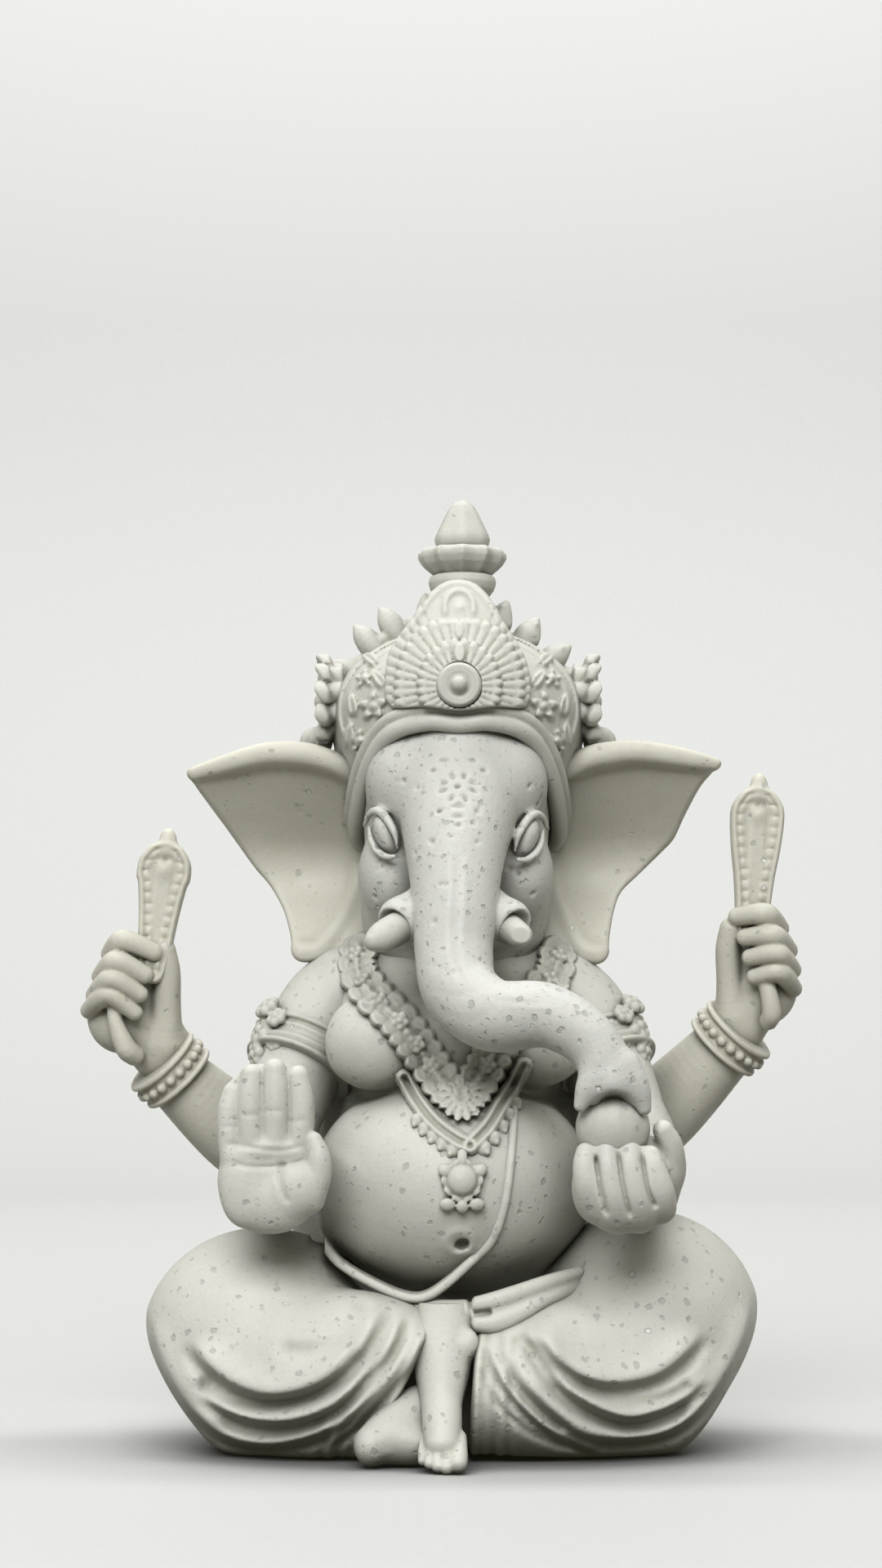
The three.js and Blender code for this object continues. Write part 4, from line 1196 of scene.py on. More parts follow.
# the flowers and leaves on each side of the dome, from its middle: (across, up, size or lean in degrees)
DOME_FLOWERS = ((13.4, -0.2, 1.8), (15.6, -5.4, 1.4), (14.8, 4.6, 1.3))
DOME_LEAVES = (
    (12.6, 4.4, 35), (10.9, -6.4, -40), (13.6, -8.6, -15), (16.8, 0.6, 8), (14.2, 8.4, 40), (17.2, -4, -5),
)


def crown_dome():
    at = Spot("crown_dome")
    clay = Clay(at.low - 1, at.high + 1, 0.28)
    clay.add(Lump(at(0, 0, -4), (20.4, 22, 14.2)), 0, 6)
    clay.add(Lump(at(0, 0, -8.6), (19.6, 21.4, 12)), 2, 6)
    clay.add(Lump(at(0, 1, -15.6), (16.6, 19.4, 15)), 4, 6)
    clay.add(Lump(at(0, 0.4, 9.4), (7.2, 7.8, 5.6)), 2.5, 4)
    x, y, z = clay.everywhere()
    # the rim is high over the forehead and falls behind the ears
    rim = at.path([
        (-0.5, -24, -6.2), (-0.5, -19, -7.6), (-0.5, -12, -13.6), (-0.5, -5, -18.6), (-0.5, 2, -22.6),
        (-0.5, 11, -24.6), (-0.5, 20, -25.2),
    ])
    edge = np.interp(y, [p[1] for p in rim], [p[2] for p in rim]).astype(np.float32)
    clay.keep((edge - z) * 0.8, 0.8)
    clay.cut(Lump(at(-0.5, -3, -18.6), (14.4, 18.4, 18)), 0.5, 3)

    def relief(x, z):
        u, v = x - at.mid[0], z - at(-0.5, -2, -4)[2]
        out = np.hypot(u / 20.4, v / 14.2)
        height = 0.45 * bump((out - 0.93) * 20, 0.55) + 0.4 * bump((out - 0.865) * 20, 0.5)
        height -= 0.3 * bump((out - 0.9) * 20, 0.4)
        for side in (-1, 1):
            for cu, cv, wide in DOME_FLOWERS:
                du, dv = u * side - cu, v - cv
                turn = np.arctan2(du, dv)
                edge = wide * (1 + 0.28 * np.cos(5 * turn))
                gap = np.hypot(du, dv)
                flower = 0.95 * smooth_step(edge + 0.35, edge - 0.5, gap) - 0.5 * bump(gap - 0.9, 0.35)
                height = np.maximum(np.maximum(height, flower), 1.15 * bump(gap, 0.62))
            for cu, cv, lean in DOME_LEAVES:
                du, dv = u * side - cu, v - cv
                a = math.radians(lean)
                along = du * math.sin(a) + dv * math.cos(a)
                across = du * math.cos(a) - dv * math.sin(a)
                leaf = np.hypot(along / 2.3, across / (0.95 * np.clip(1 - along / 4.5, 0.2, 1.6)))
                vein = 0.4 * bump(across, 0.3) * (leaf < 1)
                height = np.maximum(height, 0.85 * smooth_step(1.1, 0.6, leaf) - vein)
        return height

    clay.press(relief, back=-1, fade=3)

    # tall flutes with a bead course, round the sides and the back
    px, py = x - at.mid[0], y - at(-0.5, 0, -118.6)[1]
    turn = np.arctan2(px, py)
    v = z - at(-0.5, -2, -2.6)[2]
    behind = smooth_step(-3, 4, py) * np.ones_like(z)
    flute = 0.35 * np.abs(np.cos(turn * 11)) * smooth_step(13.5, 9, v) * smooth_step(-8, -5, v)
    beads = 0.8 * bump(np.abs(petals(turn, 38)), 0.75) * bump(v + 9.6, 0.9)
    rolls = 0.6 * bump(v + 7.3, 0.6) + 0.6 * bump(v + 11.8, 0.6)
    clay.field -= (behind * (flute + beads + rolls)).astype(np.float32)
    cast("domed_crown", clay, ["crown_dome"], "marble_ornament")


def crown_band():
    at = Spot("crown_band")
    clay = Clay(at.low - (1, 1.5, 1), at.high + (1, 1, 1), 0.26)
    middle = at(0.5, -0.2, -102.6)[0]
    half = at.path([
        (1, 17.8, -9.8), (11.6, 12.4, -9.6), (16.4, 3.8, -7.8), (16.4, -4.2, -3.8), (15, -10.4, 1.3),
        (12.8, -14.6, 5.6), (9.8, -17.7, 7.9), (5, -19.8, 8.8), (0.5, -20.2, 8.4),
    ])
    lower = [(x, y, z, 1.4) for x, y, z in half]
    upper = [(middle + (x - middle) * 1.07, y + 0.2, z + 2.1, 0.9) for x, y, z in half]
    backing = [(middle + (x - middle) * 1.02, y + 0.9, z + 1.1, 1.2) for x, y, z in half]
    for row, soft in ((lower, 0), (backing, 0.2), (upper, 0.2)):
        whole = row + [(2 * middle - x, y, z, r) for x, y, z, r in row[-2::-1]]
        clay.add(Limb(whole, 6), soft, 2)
    cast("rolled_crown_band", clay, ["crown_band"], "marble_ornament")


PLAQUE_HUB = 3.4  # the petals of the plaque start this far from its middle


def crown_plaque():
    at = Spot("crown_plaque")
    centre = at(0.1, -3.3, -7.3)
    outline = closed_spline(at.flat([
        (-9.9, -10.2), (-11.4, -8.4), (-11.5, -6), (-11.3, -3), (-10.7, -0.6), (-8.7, 2.4),
        (-6.7, 5.4), (-5.9, 6.9), (-4.1, 9), (-2.1, 10.5), (0.1, 10.9), (2.3, 10.4), (4.1, 8.8),
        (5.7, 6.6), (6.7, 4.4), (8.7, 1), (10.4, -2), (11.1, -5.4), (11.1, -8.4), (9.9, -10.2),
        (5.5, -10.3), (0.1, -11), (-5.5, -10.3),
    ]), 4)
    clay = Clay(at.low - (1, 3, 1), at.high + (1, 1, 1), 0.2)

    def back(x, z):
        v = (z - at.low[2]) / at.size[2]
        return centre[1] - 0.6 + 10.2 * v**2 + (x - centre[0]) ** 2 / 34

    def relief(x, z):
        u, v = x - centre[0], z - centre[2]
        turn = np.arctan2(u, v)
        out = np.hypot(u, v) / (1 + 0.16 * np.maximum(np.cos(turn), 0) ** 2)
        height = np.zeros(out.shape)
        for edge, count, tall in ((13.6, 46, 0.9), (10.5, 40, 1.55), (6.9, 28, 2.2)):
            phase = petals(turn, count)
            tip = edge - 0.55 * phase**2
            round_top = 0.55 * np.sqrt(np.maximum(1 - (phase * 0.98) ** 2, 0))
            ring = (tall - 0.4 + round_top) * smooth_step(tip + 0.2, tip - 0.35, out)
            ring = ring + 0.25 * bump(out - tip + 0.9, 0.5) * (out < tip)
            height = np.maximum(height, ring)
        height = np.where(out < PLAQUE_HUB, np.minimum(height, 1.3), height)
        # a leaf above the boss, and an arch in the top lobe
        leaf = np.hypot(u / 1.25, (v - 5.4) / 2.3)
        height = np.maximum(height, 3.0 * smooth_step(1.15, 0.55, leaf))
        leaf = np.hypot(u / 0.95, (v - 9.2) / 1.9)
        height = np.maximum(height, 2.0 * smooth_step(1.15, 0.55, leaf))
        lobe = smooth_step(10.4, 11.4, v) * smooth_step(5.4, 4.6, np.abs(u))
        arch = np.abs(np.hypot(u / 0.8, np.maximum(v - 13.4, 0)) - 2.8)
        inner = 1.1 + 0.6 * bump(arch, 0.5) * smooth_step(11.4, 12.6, v)
        inner = inner + 0.5 * bump(np.hypot(u, v - 13.2), 0.8)
        height = height * (1 - lobe) + lobe * inner
        gap = outline_distance(outline, x, z)
        rim = 0.45 * bump(gap + 0.7, 0.5) * smooth_step(8.6, 10, v)
        return height + rim

    x, y, z = clay.everywhere()
    x2, z2 = x[:, 0], z[0]
    middle = back(x2, z2)[:, None, :]
    face = middle - relief(x2, z2)[:, None, :]
    gap = outline_distance(outline, x2, z2)[:, None, :]
    body = np.maximum((face - y) * 0.8, (y - middle - 1.4) * 0.8)
    clay.field = soft_max(body, gap, 0.5).astype(np.float32)
    cast("petalled_crown_plaque", clay, ["crown_plaque"], "marble_ornament")


def crown_boss():
    at = Spot("crown_boss")
    clay = Clay(at.low - 1, at.high + 1, 0.2)
    x, y, z = clay.everywhere()
    u, v = x - at.mid[0], z - at.mid[2]
    out = np.hypot(u, v)
    face = at.low[1] + 0.7 + 0.07 * out**2 - 1.15 * np.sqrt(np.maximum(1 - (out / 1.25) ** 2, 0))
    face = face + 0.35 * bump(out - 1.7, 0.35) - 0.3 * bump(out - 3.05, 0.35)
    disc = soft_max((face - y) * 0.8, y - at.high[1], 0.4)
    clay.field = soft_max(disc, out - at.size[0] / 2 + 0.1, 0.6).astype(np.float32)
    cast("crown_boss_button", clay, ["crown_boss"], "marble_ornament")


def crown_crest():
    at = Spot("crown_crest")
    clay = Clay(at.low - 1, at.high + 1, 0.24)
    hub = at(0, 0, -15.3)
    # where each leaf stands round the dome, in degrees, and how far out its tip is
    leaves = (
        (32, 23.8), (46, 24.8), (60, 24.6), (76, 24), (92, 24), (109, 23.6), (125, 23.4), (140, 23.6),
        (153, 23),
    )
    arc = []
    for step in range(25):
        angle = math.radians(24 + 132 * step / 24)
        across, up = 18.2 * math.cos(angle), 18.2 * math.sin(angle) * 0.98
        arc.append((hub[0] - across, hub[1], hub[2] + up, 1.25))
    clay.add(Limb(arc, 1), 0, 2)
    for step, (degrees, tip) in enumerate(leaves):
        angle = math.radians(degrees)
        out = np.array((-math.cos(angle), 0, math.sin(angle)))
        across = np.array((math.sin(angle), 0, math.cos(angle)))
        lean = 0.25 if step % 2 else -0.25
        row = [(17.6, 1.9), (19.8, 2.2), (tip - 2.7, 1.9), (tip - 1.2, 1.1), (tip, 0.35)]
        leaf = [(*(hub + out * r + across * lean * (r - 17) / 4), thick) for r, thick in row]
        clay.add(Limb(leaf, 3), 0.5, 1)
        row = [(18, 0.6), (20.4, 0.55), (22.4, 0.3)]
        rib = [(*(hub + out * r - (0, 1.3, 0)), thick) for r, thick in row]
        clay.add(Limb(rib, 2), 0.3, 1)
    for step in range(10):
        angle = math.radians(22.5 + 15 * step)
        out = np.array((-math.cos(angle), 0, math.sin(angle)))
        clay.add(Lump(hub + out * 19.9 - (0, 0.6, 0), (1.25, 1.2, 1.25)), 0.3, 1)
        clay.add(Lump(hub + out * 18.3 - (0, 1.5, 0), (0.9, 0.8, 0.9)), 0.3, 1)
    y = clay.everywhere()[1]
    clay.keep(at.low[1] - 1.2 - y, 0.4)
    clay.keep(y - (at.high[1] + 0.4), 0.4)
    cast("leafy_crown_crest", clay, ["crown_crest"], "marble_ornament")


def rosette(name, node, side):
    """A round ear ornament on the side of the crown, with petals round its rim and a hollow outer face."""
    at = Spot(node)
    hub = at.mid
    clay = Clay(at.low - 1.6, at.high + 1.6, 0.24)
    x, y, z = clay.everywhere()
    px, py, pz = (x - hub[0]) * side, y - hub[1], z - hub[2]
    out = np.hypot(py, pz)
    turn = np.arctan2(py, pz)
    # leaves that overlap like tiles, each tipped outwards, round a hollow with a knob in it
    phase = petals(turn, 11)
    edge = 7.8 - 0.9 * phase**2 - 0.2 * phase
    tipped = 1.5 * smooth_step(3.5, 8, out) + 0.55 * phase
    swell = 1.0 - 0.35 * phase**2 + 0.2 * bump(phase, 0.35)
    flange = soft_max(out - edge, np.abs(px - tipped + 0.9) - swell, 0.7)
    inner = petals(turn + 0.3, 9)
    under = 6.3 - 1.2 * inner**2
    second = soft_max(out - under, np.abs(px - 0.7 * smooth_step(3, 6, out) + 2.0) - 1.4, 0.6)
    core = soft_max(out - 4.4, np.abs(px + 1.2) - 1.5, 0.6)
    knob = np.sqrt((px - 0.2) ** 2 + py**2 + pz**2) - 1.8
    field = soft_min(soft_min(flange, second, 0.3), soft_min(core, knob, 0.4), 0.4)
    clay.field = field.astype(np.float32)
    cast(name, clay, [node], "marble_ornament")


def tassel(name, node, side):
    at = Spot(node)
    clay = Clay(at.low - 1, at.high + 1, 0.24)
    clay.add(Lump(at(0, 0, 0.5), (2.7, 2.5, 2.5)))
    clay.add(Lump(at(side * 0.9, 0.1, -1.8), (1.6, 1.7, 1.7)), 0.4)
    for step in range(7):
        turn = 2 * math.pi * step / 7
        across, deep = math.sin(turn), math.cos(turn)
        groove = at.path([(2.9 * across, 2.7 * deep, 2.4, 0.35), (3.0 * across, 2.9 * deep, -1.4, 0.3)])
        clay.cut(Limb(groove), 0.4)
    cast(name, clay, [node], "marble_ornament")


FINIAL = {
    # node: (piece, grain, (radius, height) corners, lobes, depth of the lobes, sharp lobes)
    "finial_tier": ("finial_cup", 0.24, [
        (0, -0.6), (3.2, -0.6), (4.3, 0.5), (5.2, 1.7), (5.5, 2.8), (5.3, 3.7), (4.6, 4.1), (0, 4.1),
    ], 0, 0, False),
    "finial_bowl": ("scalloped_finial_bowl", 0.22, [
        (0, -0.4), (4.4, -0.4), (5.3, 0.4), (6.3, 1.4), (6.9, 2.5), (6.9, 3.3), (6.3, 3.9), (5.2, 4.0),
        (0, 3.9),
    ], 11, 0.06, True),
    "finial_bud": ("pointed_finial_bud", 0.24, [
        (0, -0.4), (3.7, -0.4), (4.2, 0.5), (4.5, 1.5), (4.35, 2.2), (3.4, 4.2), (2.6, 5.9), (1.9, 7.1),
        (1.1, 7.8), (0, 8.1),
    ], 7, 0.022, False),
}


def finial():
    for node, (name, grain, profile, lobes, depth, sharp) in FINIAL.items():
        at = Spot(node)
        clay = Clay(at.low - 1, at.high + 1.6, grain)
        clay.add(Turned(at(0.7, 0, -at.size[2] / 2), profile, lobes, depth, sharp))
        cast(name, clay, [node], "marble_ornament")


crown_dome()
crown_band()
crown_plaque()
crown_boss()
crown_crest()
for ornament in (rosette, tassel):
    for hand, side in (("right", -1), ("left", 1)):
        kind = ornament.__name__
        ornament(f"{hand}_crown_{kind}", f"crown_{kind}_{hand}", side)
finial()

# ---------------------------------------------------------------------------------------------------------
# The arms, the hands and what they hold


# each arm's (x, y, z, radius) points, from the middles of its upper arm and its forearm, and its material
ARMS = {
    "right_front": (
        [(10.3, 5.4, 12.8, 7.2), (6.8, 4, 8.3, 7.8), (2.8, -0.6, -0.2, 7.2), (-1, -5.1, -10.2, 6.4)],
        [(1.9, 9, 2, 6.2), (2.1, -1, -0.5, 5.5), (2.8, -10.5, -2.5, 4.8)],
        "marble_body",
    ),
    "left_front": (
        [(-11, 4.8, 12.2, 7), (-7.6, 3.6, 7.8, 7.6), (-4, -0.8, 0, 6.9), (-0.4, -5.2, -10, 6.2)],
        [(-3.1, 11.3, 1.7, 6), (-2.9, 0.3, -0.7, 5.5), (-4.1, -10.7, -2.3, 4.9)],
        "marble_body",
    ),
    "right_rear": (
        [(9, -2.9, 11.6, 8.2), (5, -0.4, 7.6, 8.4), (-1, 1.1, -2.4, 7.6), (-6, 0.6, -10.6, 7)],
        [(9.8, 2.7, -6.6, 6.8), (4.8, 1.3, -3.5, 6.7), (0.3, -0.3, 0.4, 6.3), (-5.6, -2.7, 5.9, 5.3)],
        "marble_thin",
    ),
    "left_rear": (
        [(-8.6, -3, 10, 8.2), (-4.6, -0.5, 6, 8.4), (1.4, 1, -2, 7.6), (5.4, 0.5, -9.5, 7)],
        [(-10, 2.8, -8, 6.8), (-5, 1.4, -3.9, 6.7), (-0.5, -0.2, 0.5, 6.2), (5.4, -2.6, 6.7, 5.3)],
        "marble_thin",
    ),
}


def arms():
    """Each upper arm and forearm in one piece, joined at the elbow."""
    for name, (upper_path, fore_path, slot) in ARMS.items():
        nodes = [name + "_upper_arm", name + "_forearm"]
        upper, fore = (Spot(node) for node in nodes)
        clay = Clay(np.minimum(upper.low, fore.low) - 2, np.maximum(upper.high, fore.high) + 2, 0.34)
        clay.add(Limb(upper.path(upper_path), 6), 0, 5)
        clay.add(Limb(fore.path(fore_path), 6), 3.0, 5)
        cast(name + "_arm", clay, nodes, slot)


def raised_hand():
    """The blessing hand: flat palm to the front, fingers together."""
    at = Spot("raised_right_hand")
    clay = Clay(at.low - 1.2, at.high + 1.2, 0.22)
    clay.add(Lump(at(-0.5, 0.3, -4.7), (7.9, 2.6, 7.4)), 0, 4)
    clay.add(Lump(at(-0.7, -0.1, -8.5), (5.8, 2.9, 4.0)), 2, 4)
    clay.add(Lump(at(3.3, -1.3, -6.1), (3.9, 2.4, 4.2), (0, 35, 0)), 0.8)
    clay.add(Lump(at(-4.7, -0.7, -5.7), (3.3, 2.2, 5.8)), 1.2)
    clay.add(Limb(at.path([(2.9, -0.7, -0.3, 1.6), (-1.1, -1, -0.1, 1.7), (-6.1, -0.5, -1.1, 1.6)])), 0.9)
    clay.add(Lump(at(-1.3, 0.1, 4.7), (7.2, 1.5, 7.6)), 1)
    for finger in (
        [(3.5, -0.1, -2, 1.7), (3.9, -0.5, 2.1, 1.85), (4, -0.5, 6.7, 1.85), (3.5, -0.3, 10.5, 1.6)],
        [(0.1, -0.3, -2, 1.7), (0.2, -0.8, 2.7, 1.9), (0.2, -0.9, 7.7, 1.9), (0, -0.6, 11.5, 1.65)],
        [(-3.3, -0.2, -2, 1.7), (-3.5, -0.6, 2.3, 1.85), (-3.6, -0.6, 7.1, 1.85), (-3.4, -0.3, 10.7, 1.6)],
        [(-6.3, 0.1, -2.9, 1.6), (-6.7, -0.1, 0.7, 1.7), (-6.8, 0, 4.9, 1.65), (-6.3, 0.4, 8.1, 1.4)],
    ):
        clay.add(Limb(at.path(finger), 5), 0.5, 1)
    clay.add(Limb(at.path([
        (5.3, -0.3, -7.7, 2.2), (6.5, -1.1, -4.1, 2), (6.6, -1.4, -1.3, 1.7), (5.9, -1.3, 1.1, 1.2),
    ]), 5), 0.6)

    def creases(x, z):
        height = 0.0
        for line, wide, deep in (
            ([(4.9, 0.4), (0.9, -0.4), (-3.6, 0.1), (-7.7, 0.9)], 0.4, -0.25),
            ([(5.1, -1.6), (1.4, -2.6), (-3.1, -2.8), (-6.7, -2.1)], 0.32, -0.3),
            ([(1.3, -1.7), (1, -4.9), (2.3, -8.5)], 0.5, -0.4),
            ([(4.9, 4.1), (1.9, 3.9)], 0.35, -0.12),
            ([(1.5, 5.4), (-1.7, 5.4)], 0.35, -0.12),
            ([(-1.9, 4.9), (-5, 4.8)], 0.35, -0.12),
            ([(-5.3, 3.1), (-8, 3)], 0.35, -0.1),
        ):
            height = height + ridge(x, z, at.flat(line), wide, deep, 0.15)
        return height

    clay.press(creases, back=at.mid[1] + 0.7, fade=1)
    cast("blessing_right_hand", clay, ["raised_right_hand"], "marble_body")


def giving_hand():
    """The open hand that holds the sweet: four fingers curl up in front of it."""
    at = Spot("giving_left_hand")
    clay = Clay(at.low - 1.2, at.high + (1.2, 1.2, 3.2), 0.22)
    clay.add(Lump(at(-1, -1.3, -0.3), (7.2, 5.1, 6.6)), 0, 4)
    clay.add(Lump(at(2.4, 2.3, 2.3), (6.0, 3.8, 5.0)), 1.5, 4)
    for finger in (
        [
            (-4.6, 1.3, -3.1, 2.2), (-5.2, -1.9, -2.7, 2.1), (-6, -4.1, -0.1, 2), (-6.4, -4.3, 2.9, 1.75),
            (-6.2, -3.6, 4.7, 1.5),
        ],
        [
            (-1.4, 1.3, -4.7, 2.3), (-1.7, -2.3, -4.5, 2.2), (-2.4, -4.7, -1.5, 2.1),
            (-3.1, -4.9, 2.5, 1.85), (-3.2, -4.1, 4.9, 1.6),
        ],
        [
            (2, 1.3, -4.9, 2.3), (1.9, -2.1, -4.5, 2.2), (1.1, -4.6, -1.5, 2.1), (0.2, -4.8, 2.5, 1.85),
            (0.1, -4, 4.9, 1.6),
        ],
        [
            (4.6, 1.3, -3.7, 2.2), (5, -1.6, -3.3, 2.1), (4.6, -3.6, -0.7, 2), (3.6, -3.8, 2.5, 1.7),
            (3.2, -3.2, 4.3, 1.45),
        ],
    ):
        clay.add(Limb(at.path(finger), 5), 1.2, 1)
    clay.add(Limb(at.path([
        (5, 3.9, -1.9, 2.8), (6.4, 1.7, 2.1, 2.3), (6.3, -0.1, 5.5, 1.9), (5.2, -1.1, 7.9, 1.5),
    ]), 5), 1.0)

    def grooves(x, z):
        height = 0.0
        for line in (
            [(-4.9, 5.1), (-4.2, -0.3), (-3.1, -4.7)],
            [(-1.7, 5.5), (-0.9, -0.3), (0.3, -4.9)],
            [(1.7, 5.1), (2.6, -0.3), (4, -3.5)],
        ):
            height = height + ridge(x, z, at.flat(line), 0.36, -0.6, 0.15)
        return height

    clay.press(grooves, back=at.mid[1] - 1.7, fade=1)
    cast("giving_left_hand", clay, ["giving_left_hand"], "marble_body")

    at = Spot("sweet")
    clay = Clay(at.low - 1, at.high + (2.4, 1, 2), 0.24)
    clay.add(Lump(at(0.1, 0, 2.3), (5.5, 5.2, 5.3)))
    x, y, z = clay.everywhere()
    turn = np.arctan2(x - at.mid[0] - 0.1, at.mid[1] - y)
    pleats = 0.08 * np.abs(np.sin(turn * 5)) ** 6 * smooth_step(0, 3, z - at.mid[2])
    clay.field += pleats.astype(np.float32)
    cast("round_sweet", clay, ["sweet"], "marble_ornament")


def fist(name, node, palm, thumb, fingers, tail):
    """A rear hand closed round the handle of a mace. A finger runs through three points over its middle."""
    at = Spot(node)
    clay = Clay(at.low - 1.2, at.high + 1.6, 0.22)
    for centre, radii in palm:
        clay.add(Lump(at(*centre), radii), 2, 4)
    clay.add(Limb(at.path(thumb), 5), 1.0, 2)
    for root, top, tip, thick, lift in fingers:
        root, top, tip = at(*root), at(*top), at(*tip)
        between = (root + top) / 2 + (0, -0.9, lift)
        row = [(*root, thick * 0.9), (*between, thick), (*top, thick * 1.02), (*tip, thick * 0.85)]
        clay.add(Limb(row, 6), 0.25, 1)
    clay.add(Limb(at.path(tail), 4), 0.5, 1)
    cast(name, clay, [node], "marble_thin")


def fists():
    fist(
        "gripping_right_rear_hand", "right_rear_hand",
        [((3.4, 2.9, -6.1), (5.0, 4.6, 5.4)), ((-2.4, 2.1, -1.3), (5.8, 4.8, 6.0)),
         ((-0.6, 1.5, 5.3), (4.6, 4.2, 5.4))],
        [(4.2, 1.1, -5.2, 3.2), (4.6, -0.1, 0.3, 2.5), (4.9, -1.5, 5.7, 2.2), (4.5, -2.5, 9.3, 1.9)],
        [
            ((-4.2, -1.1, 8.7), (-1.4, -4.9, 10.7), (3, -4.1, 8.9), 1.75, 0.5),
            ((-5.6, -1.5, 5.1), (-2.4, -5.6, 7.3), (1.6, -4.7, 5.3), 1.75, 0.5),
            ((-6.6, -1.5, 2.1), (-3, -5.8, 4.5), (0.8, -4.7, 2.2), 1.7, 0.5),
            ((-7.6, -0.7, -0.3), (-3.6, -5.3, 2.1), (0, -4.3, -0.7), 1.6, 0.5),
        ],
        [(-3.4, -3.5, 0.8, 1.1), (-3, -3.9, -2.3, 1.25), (-1.4, -3.7, -6.3, 1.7), (-0.2, -2.5, -7.5, 1.7)],
    )
    fist(
        "gripping_left_rear_hand", "left_rear_hand",
        [((-2.4, 2.9, -7.4), (4.8, 4.6, 5.2)), ((1.8, 2.1, -2), (5.2, 4.8, 6.2)),
         ((1, 1.5, 4.8), (4.8, 4.2, 5.2))],
        [(-3.6, 0.9, -6.2, 2.8), (-4.2, -0.3, -1, 2.1), (-4.5, -1.5, 3.8, 2), (-4.1, -2.5, 7.2, 1.8)],
        [
            ((3.8, -1.7, 7.2), (0.6, -5.9, 9.4), (-3.2, -4.1, 9), 1.75, 0.4),
            ((5.2, -1.7, 3.7), (1.8, -6.3, 6), (-2, -4.5, 5.7), 1.7, 0.4),
            ((5.8, -1.7, 0.6), (2.4, -6.4, 3.1), (-1.2, -4.7, 2.5), 1.65, 0.4),
            ((6, -1.1, -2.4), (2.8, -5.7, 0.2), (-0.5, -4.3, -0.6), 1.6, 0.4),
        ],
        [(1.2, -4.1, -1.2, 1.35), (1.8, -4.3, -3.6, 1.4), (2.2, -3.9, -6.4, 1.55), (1.8, -2.7, -7.6, 1.5)],
    )


BEAD_PITCH = 1.75  # from bead to bead along the border of a mace


def mace(name, node, foot, tip):
    """A flat paddle-shaped mace: rolled border, a course of beads inside it, and a rib down the middle."""
    at = Spot(node)
    clay = Clay(at.low - 1, at.high + 1, 0.2)
    x, y, z = clay.everywhere()
    x2, z2 = x[:, 0], z[0]
    along = np.array((tip[0] - foot[0], tip[2] - foot[2]))
    length = float(np.hypot(*along))
    along = along / length
    v = (x2 - foot[0]) * along[0] + (z2 - foot[2]) * along[1]
    u = (x2 - foot[0]) * along[1] - (z2 - foot[2]) * along[0]
    head = length - 2.2
    # (up, half width) from the handle to the head
    half = [(-4.5, 1.6), (-1, 2.6), (3, 2.9), (7, 3.3), (11, 3.9)]
    half += [(head - 6, 4.3), (head - 3.4, 4.15), (head - 1.4, 3.0), (head - 0.5, 1.9)]
    outline = [(w, s) for s, w in half] + [(0, head)] + [(-w, s) for s, w in half[::-1]]
    outline = closed_spline(outline, 4)
    gap = outline_distance(outline, u, v)
    face = 1.25 + 0.45 * bump(gap + 0.5, 0.42) - 0.25 * smooth_step(-0.8, -1.2, gap)
    course = 0.25 + 0.75 * np.abs(np.cos(v * math.pi / BEAD_PITCH)) ** 0.7
    beads = 0.5 * bump(gap + 1.55, 0.62) * course * (v < head - 1.5)
    rib = 0.32 * smooth_step(1.5 + 0.02 * v, 0.8, np.abs(u)) * smooth_step(head - 2.6, head - 5, v)
    drop = 0.55 * bump(np.hypot(u / 1.1, (v - head + 4.6) / 1.7), 0.9)
    drop = drop - 0.45 * bump(np.hypot(u, v - head + 3.1), 0.5)
    middle = foot[1] + (tip[1] - foot[1]) * np.clip(v / length, 0, 1)
    front = middle - (face + beads + rib + drop)
    body = np.maximum((front[:, None, :] - y) * 0.85, y - (middle + 1.5)[:, None, :])
    clay.field = soft_max(body, gap[:, None, :], 0.6).astype(np.float32)
    top = np.array((foot[0] + along[0] * head, tip[1], foot[2] + along[1] * head))
    end = np.array((foot[0] + along[0] * (length - 0.9), tip[1], foot[2] + along[1] * (length - 0.9)))
    knob = [(*(top - (0, 0, 1.2)), 1.75), (*((top + end) / 2), 1.3), (*end, 0.85)]
    clay.add(Limb(knob, 3), 0.6, 1)
    cast(name, clay, [node], "marble_thin")


def bracelet(name, node, centre, axis, wide):
    """Two raised rims round the wrist, with a course of beads between them."""
    at = Spot(node)
    clay = Clay(at.low - 1.2, at.high + 1.2, 0.22)
    axis = np.array(axis, float) / np.linalg.norm(axis)
    clay.add(Ring(centre, axis, 0, wide + 0.5, 4.6, 0.4), 0, 1)
    for shift in (-1.9, 1.9):
        clay.add(Ring(centre + axis * shift, axis, wide - 1, wide + 1.15, 0.95, 0.42), 0.25, 1)
    helper = np.cross(axis, (0, 1, 0.2))
    helper /= np.linalg.norm(helper)
    other = np.cross(axis, helper)
    for step in range(20):
        turn = 2 * math.pi * step / 20
        spot = centre + (helper * math.cos(turn) + other * math.sin(turn)) * (wide + 0.62)
        clay.add(Lump(spot, (0.82, 0.82, 0.82)), 0.15, 1)
    cast(name, clay, [node], "marble_thin")


